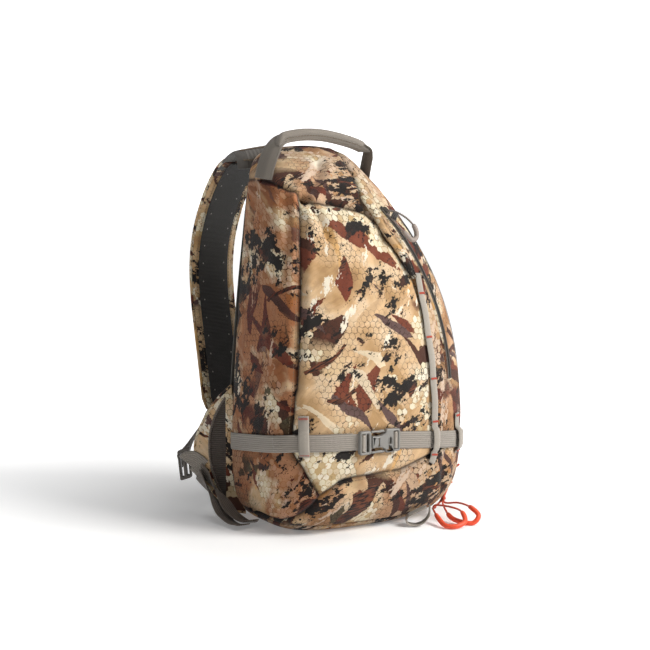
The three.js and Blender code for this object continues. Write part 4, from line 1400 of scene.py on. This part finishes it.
# ---- cord pulls ----
PULLS = {
    "front_pull": (None, [
        (27, -45, 383), (32, -50, 382), (39, -55, 378), (47, -60, 371), (54, -63, 361), (54, -65, 351),
        (48, -66, 348), (41, -64, 354), (34, -59, 363), (28, -53, 372), (24, -46.5, 379),
    ], (0.34, 0.72), "grey"),
    "main_pull_first": ([(57, 343, 9), (48, 347, 4.5), (38, 345, 3), (30, 338, 3), (22, 322, 4)], [
        (103, -59.5, 17), (110.3, -81, 20), (112.4, -105.3, 18), (113.5, -117.5, 11), (106.8, -117, 3.4),
        (96.5, -108.8, 3.4), (90.3, -93.7, 6), (95.3, -68.9, 15),
    ], (0.40, 0.64), "orange"),
    "main_pull_second": ([(36, 343, 8), (30, 344, 4.5), (23, 336, 3.5), (18, 324, 4), (14.5, 312, 4)], [
        (85.8, -63.4, 16.4), (91.7, -85.2, 18.5), (96.8, -104.4, 16), (92.8, -118.2, 7), (77.8, -121.2, 3.4),
        (68.5, -113.4, 3.4), (71, -93, 8), (78.2, -70.6, 14),
    ], (0.40, 0.66), "orange"),
}


CORD = 0.0024  # a pull's cord is this thick
CORD_UP = (0.13, 0.21, 0.97)
KNOT_TURNS = 2.6


def pull_route(hugged, loop):
    """A pull's cord: out along the body to its knot, round the loop, and back beside itself."""
    if hugged is None:
        return smooth_line(np.array(loop) * MM, 200), None
    out, back = [], []
    for z, degrees, gap in hugged:
        point = around(np.array([z * MM]), np.array([math.radians(degrees)]))[0]
        normal = outward_at(point)
        apart = unit(np.cross(normal, unit(np.array([-0.45, -0.45, -0.77])))) * 0.0017
        out.append(point + normal * gap * MM - apart)
        back.append(point + normal * gap * MM + apart)
    line = smooth_line(np.vstack([out, np.array(loop) * MM, back[::-1]]), 240)
    return line, (out[-1] + back[-1]) / 2


def knot_line(line, place):
    """Turns of cord about both of a loop's sides, by a place, or a tenth of the way along."""
    count = len(line)
    at = 0.10
    if place is not None:
        at = float(np.argmin(np.linalg.norm(line[:100] - place, axis=1))) / count
    first, last = line[int(at * count)], line[int((1 - at) * count)]
    ahead = unit(line[int((at + 0.05) * count)] - line[int((at - 0.05) * count)])
    side = unit(first - last)
    turn = np.linspace(0, 2 * math.pi * KNOT_TURNS, 90)
    reach = min(np.linalg.norm(first - last) / 2 + 0.0014, 0.0042)
    wind = (first + last) / 2 + side * (reach * np.cos(turn))[:, None]
    wind += np.cross(ahead, side) * (0.0023 * np.sin(turn))[:, None]
    return wind + ahead * np.linspace(-0.0032, 0.0032, 90)[:, None], ahead


def make_pulls():
    """Each pull: a cord loop, the rubber sleeve over its far bend, and the knot near its slider."""
    looks = {"grey": (GREY_CORD, GREY_RUBBER, KNOT), "orange": (ORANGE_CORD, ORANGE_RUBBER, ORANGE_CORD)}
    for name, (hugged, loop, (start, end), kind) in PULLS.items():
        cord_look, sleeve_look, knot_look = looks[kind]
        line, knot_place = pull_route(hugged, loop)
        cord = sweep(f"{name}_cord_loop", line, CORD_UP, round_section(CORD / 2, 10), cord_look)
        sleeve_line = line[int(start * len(line)):int(end * len(line))]
        taper = shares(len(sleeve_line), [0, 0.03, 0.08, 0.92, 0.97, 1], [0.72, 0.92, 1, 1, 0.92, 0.72])
        sleeve = sweep(f"{name}_rubber", sleeve_line, CORD_UP, round_section(0.0030, 14), sleeve_look,
                       scale=(taper, taper))
        knot = sweep(f"{name}_knot", *knot_line(line, knot_place), round_section(0.00125, 8), knot_look)
        placed(cord, name, f"{kind}_cord", f"{name}_cord")
        placed(sleeve, name, f"{kind}_rubber", f"{name}_sleeve")
        placed(knot, name, f"{kind}_cord")
        tuple(line[0])
        line_length(line)
        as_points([tuple(p) for p in line[::8]] + [tuple(line[-1])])


# ---- handle ----
HANDLE_Y = 0.027


def handle_line(pairs, count):
    return smooth_line([(x * MM, HANDLE_Y, z * MM) for x, z in pairs], count)


def make_handle():
    left = handle_line([(-105, 421), (-101, 436), (-95, 451), (-87, 463), (-77, 469.5)], 40)
    right = handle_line([(33, 460.5), (40, 455), (40, 446), (37.5, 434), (34, 416)], 40)
    faces = {"left": (-0.88, -0.45, 0.15), "right": np.cross(np.gradient(right, axis=0), (0, 1, 0))}
    pinches = {"left": ([0, 0.6, 1], [1, 1, 0.62]), "right": ([0, 0.4, 1], [0.62, 1, 1])}
    for name, line in (("left", left), ("right", right)):
        piece = sweep(f"handle_{name}_tape", line, faces[name], tape_section(0.025, 0.0021), TAPE_HANDLE,
                      scale=(shares(40, *pinches[name]), np.ones(40)))
        placed(piece, "handle", "webbing", f"handle_leg_{name}")
    count = 120
    line = handle_line([(-88, 461), (-81, 468), (-60, 473), (-27, 473.2), (8, 466.6), (30, 459.4),
                        (39.5, 453.5)], count)
    section = []
    for a in circle(28):
        beyond = (a - 1.15 * math.pi + math.pi) % (2 * math.pi) - math.pi
        radius = 0.0064 - 0.0011 * math.exp(-((beyond / 0.16) ** 2))  # a groove at the fold's seam
        section.append((radius * 0.95 * math.cos(a), radius * 1.16 * math.sin(a), a * 0.0064))
    ends = [0, 0.05, 0.10, 0.93, 0.97, 1]
    wide = shares(count, ends, [1.5, 1.25, 1, 1, 1.2, 1.4])
    high = shares(count, ends, [0.28, 0.6, 1, 1, 0.6, 0.3])
    grip = sweep("handle_grip_fold", line, (0, 0, 1), section, TAPE_HANDLE, scale=(wide, high))
    placed(grip, "handle", "webbing", "handle_grip")
    row = line[8:-8] + [0, -0.0062, -0.0012]
    thread_run("handle_stitches", row, (0, -1, 0.15), HANDLE_STITCH, "handle")


# ---- shoulder strap ----
PAD_LINE = np.array([
    (124, 437), (147, 422), (172, 399), (195, 369), (212, 336), (219, 300), (216, 262), (207, 222),
    (197, 182), (188, 145), (180, 114),
]) * MM
YOKE_LINE = np.array([(83, 432), (87, 447), (97, 454), (112, 450), (127, 439.5), (142, 428.5)]) * MM
STRAP_X = -0.080
PAD_HALF, LINER_HALF, YOKE_HALF = 0.0300, 0.0210, 0.0305


def strap_line(pairs, count):
    pairs = smooth_line(np.asarray(pairs, float), count)
    return np.stack([np.full(count, STRAP_X), pairs[:, 0], pairs[:, 1]], axis=1)


def binding_cloth(start):
    """Lays a thin roll's cloth across its own length, from a place of the print."""
    return lambda cloth: np.stack([cloth[:, 1] * 0.003 + start, cloth[:, 0], cloth[:, 0] * 0], axis=1)


def make_shoulder_strap():
    """The padded strap: its camouflage pad, dark liner, bound edges and stitches."""
    count = 150
    line = strap_line(PAD_LINE, count)
    up = unit(np.cross(np.gradient(line, axis=0), (-1, 0, 0)))
    section = [(PAD_HALF * power(math.cos(a), 0.35), 0.0038 * power(math.sin(a), 0.75) + 0.0066, a * 0.02)
               for a in circle(44)]
    ends = shares(count, [0, 0.03, 0.95, 0.985, 1], [0.93, 1, 1, 0.88, 0.62])
    thick = shares(count, [0, 0.03, 0.97, 1], [0.8, 1, 1, 0.7]) * (1 + 0.05 * wobble(line, 60, 8))
    pad = sweep("strap_pad_cloth", line, up, section, CAMO, scale=(ends, thick))
    across = np.tile([p[0] for p in section], count)
    lay_cloth(pad, lambda cloth: np.stack([across + 2.2, cloth[:, 0] + 0.3, across * 0], axis=1))
    placed(pad, "shoulder_strap", "camo_fabric", "strap_pad")
    liner = sweep("strap_liner_panel", line, up, flat_section(LINER_HALF, 0.4, 0.0013, 0.0011, 36), LINER,
                  scale=(ends, np.ones(count)))
    placed(liner, "shoulder_strap", "spacer_mesh", "strap_liner")
    for name, side in (("left", -1), ("right", 1)):
        sideways = np.array([side, 0, 0]) * ends[:, None]
        binding = sweep(f"strap_binding_{name}", line + sideways * PAD_HALF + up * 0.0062, up,
                        round_section(0.0021, 10), CAMO)
        lay_cloth(binding, binding_cloth(2.6))
        placed(binding, "shoulder_strap", "camo_fabric")
        row = line + sideways * (LINER_HALF + 0.0022) + up * 0.0026
        thread_run(f"strap_stitches_{name}", row, -up, STRAP_STITCH, "shoulder_strap")


def make_yoke():
    """The plain cloth that joins the strap to the body. It leans at first, and bends with the strap."""
    count = 40
    line = strap_line(YOKE_LINE, count)
    along = unit(np.gradient(line, axis=0))
    lean = -0.15 * (1 - smooth_step((np.linspace(0, 1, count) - 0.45) / 0.45))
    up = unit(np.stack([lean, -along[:, 2], along[:, 1]], axis=1))
    yoke = sweep("strap_yoke_cloth", line, up, flat_section(YOKE_HALF, 0.35, 0.0021, 0.0022, 32), YOKE)
    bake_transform(yoke)
    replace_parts(yoke, "strap_yoke")
    for i in (5, 12):
        place = line[i] + up[i] * 0.0045
        bartack(f"yoke_tack_{i}", place, np.cross(along[i], up[i]), up[i], 0.045, DARK_THREAD)


# ---- wing, ladder lock and the strap's webbing ----
WING_TURN = math.atan2(0.66, -0.75)
WING_ROOT = Vector((-0.136, 0.084, 0))


WING_ALONG = np.array([math.cos(WING_TURN), math.sin(WING_TURN), 0])
WING_OUT = np.array([-math.sin(WING_TURN), math.cos(WING_TURN), 0])


def on_wing(middle):
    """The wing's plane: the outline's first place runs along the wing, the second is height."""
    base = np.array(WING_ROOT) + WING_OUT * middle
    columns = (WING_ALONG, (0, 0, 1), np.cross(WING_ALONG, (0, 0, 1)), base)
    return Matrix([[*row] for row in zip(*columns)] + [[0, 0, 0, 1]])


def wing_line(pairs, out, count):
    flat = smooth_line(np.array(pairs, float) * MM, count)
    return np.array(WING_ROOT) + flat[:, :1] * WING_ALONG + [0, 0, 1] * flat[:, 1:] + WING_OUT * out


WING_OUTLINE = [
    (-14, 165), (0, 152), (14, 134), (26, 112), (33, 92), (33, 76), (29, 58), (22, 40), (11, 25),
    (-1, 14), (-14, 7.5), (-31, 5.5),
]
LENS = [(-6, 150), (1, 139), (9, 122), (14, 103), (15, 84), (12.5, 62), (6, 42), (-1, 28), (-6, 22)]


def turning_tape(name, stops, widths, body, *nodes):
    """A webbing that twists: its line, and the direction across it at each stop."""
    line = smooth_line(np.array(stops) * MM, 90)
    widths = unit(smooth_line(np.array(widths, float), 90))
    along = unit(np.gradient(line, axis=0))
    across = unit(widths - along * (widths * along).sum(axis=1, keepdims=True))
    tape(name, line, np.cross(across, along), STRAP, THIN, TAPE_DARK, body, *nodes)


def make_wing():
    """The side wing with its mesh lens, bound edges and tab, and the ladder lock on it."""
    outline = [tuple(p) for p in smooth_line(np.array(WING_OUTLINE, float) * MM, 40)]
    hole = [tuple(p) for p in smooth_line(np.array(LENS, float) * MM, 44)]
    wing = plate("side_wing_cloth", outline, [hole], 0.0038, 0.0011, CAMO, on_wing(0.002))
    lay_cloth(wing, lambda cloth: cloth * [1, 1, 0] + [3.1, 0.2, 0])
    placed(wing, "bag", "camo_fabric", "side_wing")
    lens = plate("wing_mesh_panel", hole, [], 0.0018, 0.0006, LENS_MESH, on_wing(0.0022))
    lay_cloth(lens, lambda cloth: cloth[:, [1, 0, 2]] * [1, 1, 0])
    placed(lens, "bag", "spacer_mesh", "wing_mesh")
    for name, ring, out, radius, material in (("edge", WING_OUTLINE, 0.0024, 0.0022, CAMO),
                                              ("lens", LENS, 0.0042, 0.0014, TAPE_DARK)):
        line = wing_line(ring, out, 110)
        binding = sweep(f"wing_{name}_binding", line, WING_OUT, round_section(radius, 10), material)
        lay_cloth(binding, binding_cloth(3.6))
        placed(binding, "bag", "camo_fabric")
    tab = wing_line([(24, 60), (30, 65), (37, 69), (42.5, 68), (44.2, 66)], 0.0042, 30)
    tape("wing_tab_tape", tab, WING_OUT, 0.0240, THIN, TAPE, "bag", "wing_tab")
    holes = [rounded([(44, 81), (47, 80), (43.6, 50), (40.8, 51)], 1.0),
             rounded([(51, 78.5), (54, 77.5), (50.6, 47.5), (47.6, 48.5)], 1.0)]
    lock = plate("ladder_lock_frame", rounded([(41.6, 86), (57, 80), (53, 42), (38.1, 47)], 3.0), holes,
                 0.0066, 0.0012, DARK_PLASTIC, on_wing(0.002))
    placed(lock, "ladder_lock", "dark_plastic", "ladder_lock")


def make_webbing():
    """The strap's webbing down to the ladder lock, and its tail, which lies in two layers."""
    turning_tape("strap_webbing_tape",
                 [(-82, 188, 132), (-95, 184, 112), (-130, 168, 92), (-160, 140, 72), (-176, 126, 64)],
                 [(1, 0.1, 0), (0.9, 0.2, 0.45), (0.4, 0.2, 0.9), (-0.08, 0.08, 0.99), (-0.08, 0.08, 0.99)],
                 "shoulder_strap", "strap_webbing")
    fall = [(-0.2, 0.1, 0.95), (-0.3, 0.2, 0.9), (-0.7, 0.3, 0.5), (-0.95, 0.1, 0.1), (-1, 0.1, 0),
            (-1, 0.1, 0)]
    turning_tape("strap_tail_tape",
                 [(-163, 99, 52), (-160, 88, 42), (-156, 66, 26), (-152, 44, 7), (-149, 24, 2.2),
                  (-146, 6, 5)], fall, "bag", "strap_tail")
    turning_tape("strap_tail_lay",
                 [(-161, 101, 58), (-153, 88, 46), (-147, 66, 29), (-142, 46, 12), (-136, 30, 4.5),
                  (-133, 18, 4.0), (-134, 9, 8)], fall + fall[-1:], "bag")


# ---- loops and the back ----


def make_loops():
    """The webbing loop under the front, laid as the photo's view shows it, and the one at the right."""
    sideways, away = np.array([0.866, -0.5, 0]), np.array([0.5, 0.866, 0])
    stops = [(96, 25), (95, 14), (88, 5.2), (77, 2.2), (69.5, 5.4), (70.5, 11.5), (80, 17), (93, 23)]
    line = smooth_line([sideways * u * MM - away * 0.050 + [0, 0, z * MM] for u, z in stops], 60)
    tape("bottom_loop_tape", line, beside(line, away), 0.0150, THIN, TAPE_FINE, "bag", "bottom_loop")
    places, ups = [], []
    for z, out in ((186, 0.5), (180, 7), (166, 9), (152, 7), (146, 0.5)):
        point = around(np.array([z * MM]), np.array([math.radians(352)]))[0]
        ups.append(outward_at(point))
        places.append(point + ups[-1] * out * MM)
    section = [(x * 0.55, y, c) for x, y, c in tape_section(0.012, THIN)]
    loop = sweep("side_loop_tape", smooth_line(places, 50), smooth_line(ups, 50), section, TAPE_FINE)
    placed(loop, "bag", "webbing", "side_loop")


PAD_BASE, PAD_DEPTH, PAD_CORNER = 0.0846, 0.0086, 0.022


def cushion(x0, x1, z0, z1, grooves, node):
    """A back pad: puffed cloth over foam, with channels across it, blown up by a cloth simulation."""
    columns, rows = 44, 56
    cx, cz, hx, hz = (x0 + x1) / 2, (z0 + z1) / 2, (x1 - x0) / 2, (z1 - z0) / 2
    u, v = np.tile(np.linspace(-1, 1, columns), rows), np.repeat(np.linspace(-1, 1, rows), columns)
    reach = 1 - (1 - math.sqrt(0.5)) * np.abs(u * v) ** 3 * PAD_CORNER / min(hx, hz) * 0.9
    x, z = cx + hx * u * reach, cz + hz * v * reach
    puff = 1 - np.exp(-np.minimum(hx * (1 - np.abs(u)), hz * (1 - np.abs(v))) / 0.006)
    for groove in grooves:
        puff *= 1 - 0.55 * bell(z - groove, 0.0032)
    face = np.stack([x, PAD_BASE + 0.0014 + (PAD_DEPTH - 0.0014) * puff, z], axis=1)
    points = np.vstack([face, np.stack([x, np.full(len(x), PAD_BASE), z], axis=1)])
    flat = np.tile(np.stack([x, z, x * 0], axis=1), (2, 1))
    count = len(face)
    faces = []
    for a in (j * columns + i for j in range(rows - 1) for i in range(columns - 1)):
        b = a + columns
        faces += [(a, b, b + 1, a + 1), (a + count + 1, b + count + 1, b + count, a + count)]
    last = (rows - 1) * columns
    rim = [*range(columns), *range(2 * columns - 1, last + columns, columns),
           *range(last + columns - 2, last - 1, -1), *range(last - columns, 0, -columns)]
    faces += [(a, b, b + count, a + count) for a, b in zip(rim, rim[1:] + rim[:1])]
    pad = solid(node + "_mesh", points, faces, AIR_MESH, flat)
    moved = simulate(pad, points[:, 1] < PAD_BASE + 0.45 * PAD_DEPTH)
    final = points + limited(moved - points, 0.0022)
    final[:, 1] = np.maximum(final[:, 1], PAD_BASE)
    pad.data.vertices.foreach_set("co", final.ravel())
    pad.vertex_groups.clear()
    placed(pad, "bag", "spacer_mesh", node)


def make_back():
    """The back panel, with soft edges, and the pads on it."""
    rows, columns = 90, 60
    levels = np.linspace(0.006, HEIGHT - 0.007, rows)
    left, right, _ = limits(levels).T
    z = np.repeat(levels, columns)
    share = np.tile(np.linspace(0, 1, columns), rows)
    low, wide = np.repeat(left + 0.006, columns), np.repeat(right - left - 0.012, columns)
    x = low + wide * share
    edge = np.min([share * wide, (1 - share) * wide, z - 0.004, HEIGHT - 0.005 - z], axis=0)
    y = 0.0806 + 0.0032 * (1 - np.exp(-np.maximum(edge, 0) / 0.004))
    starts = (j * columns + i for j in range(rows - 1) for i in range(columns - 1))
    faces = [(a, a + columns, a + columns + 1, a + 1) for a in starts]
    points, flat = np.stack([x, y, z], axis=1), np.stack([x, z, x * 0], axis=1)
    panel = solid("back_panel_cloth", points, faces, LINING, flat)
    thicken(panel, 0.0016)
    placed(panel, "bag", "lining", "back_panel")
    cushion(-0.104, -0.012, 0.210, 0.380, (0.252, 0.295, 0.338), "back_pad_left")
    cushion(-0.002, 0.066, 0.210, 0.380, (0.252, 0.295, 0.338), "back_pad_right")
    cushion(-0.104, 0.108, 0.040, 0.190, (0.078, 0.115, 0.152), "lumbar_pad")


def paint_hidden():
    """The pieces inside the bag keep their shapes."""
    for node, material in (("back_foam", FOAM), ("frame_sheet", STIFFENER), ("inner_sleeve", INSIDE),
                           ("pocket_divider", INSIDE)):
        NODES[node].data.materials.clear()
        NODES[node].data.materials.append(material)


STUDIO_REACH = 8  # how far the floor and the white surroundings go
LIGHT_AIM = Vector((0, 0, 0.22))
LIGHTS = (  # name, place, size, watts, colour
    ("key", (1.1, -1.5, 1.45), 0.9, 64, (1.0, 0.985, 0.96)),
    ("top", (0.1, 0.1, 2.1), 1.3, 13, (1, 1, 1)),
    ("side", (-1.9, -0.7, 0.8), 0.9, 1.5, (0.96, 0.98, 1.0)),
)


def make_studio():
    """A pale floor and white surroundings that only the camera sees, lit softly from the front right."""
    ring = [(STUDIO_REACH * math.cos(a), STUDIO_REACH * math.sin(a), -0.0004) for a in circle(64)]
    mesh = bpy.data.meshes.new("floor")
    mesh.from_pydata(ring, [], [tuple(range(64))])
    add_object("floor", mesh, stage_paint("floor_paint", None))
    mesh = bpy.data.meshes.new("dome")
    shell = bmesh.new()
    bmesh.ops.create_uvsphere(shell, u_segments=48, v_segments=24, radius=STUDIO_REACH)
    shell.to_mesh(mesh)
    shell.free()
    dome = add_object("dome", mesh, stage_paint("dome_paint", 1.0))
    dome.visible_diffuse = dome.visible_glossy = dome.visible_shadow = False
    world = bpy.data.worlds.new("studio")
    bpy.context.scene.world = world
    world.use_nodes = True
    background = world.node_tree.nodes["Background"]
    background.inputs[0].default_value = (1, 1, 1, 1)
    background.inputs[1].default_value = 0.13
    for name, place, size, power, colour in LIGHTS:
        data = bpy.data.lights.new(name, "AREA")
        data.size, data.energy, data.color = size, power, colour
        light = bpy.data.objects.new(name, data)
        light.location = place
        light.rotation_euler = (LIGHT_AIM - light.location).to_track_quat("-Z", "Y").to_euler()
        bpy.context.scene.collection.objects.link(light)
    bpy.context.scene.view_settings.view_transform = "Standard"


make_pulls()
make_body()
make_seams()
make_strap()
make_keepers()
make_daisy()
make_buckle()
make_zips()
make_handle()
make_shoulder_strap()
make_yoke()
make_wing()
make_webbing()
make_loops()
make_back()
paint_hidden()
make_studio()
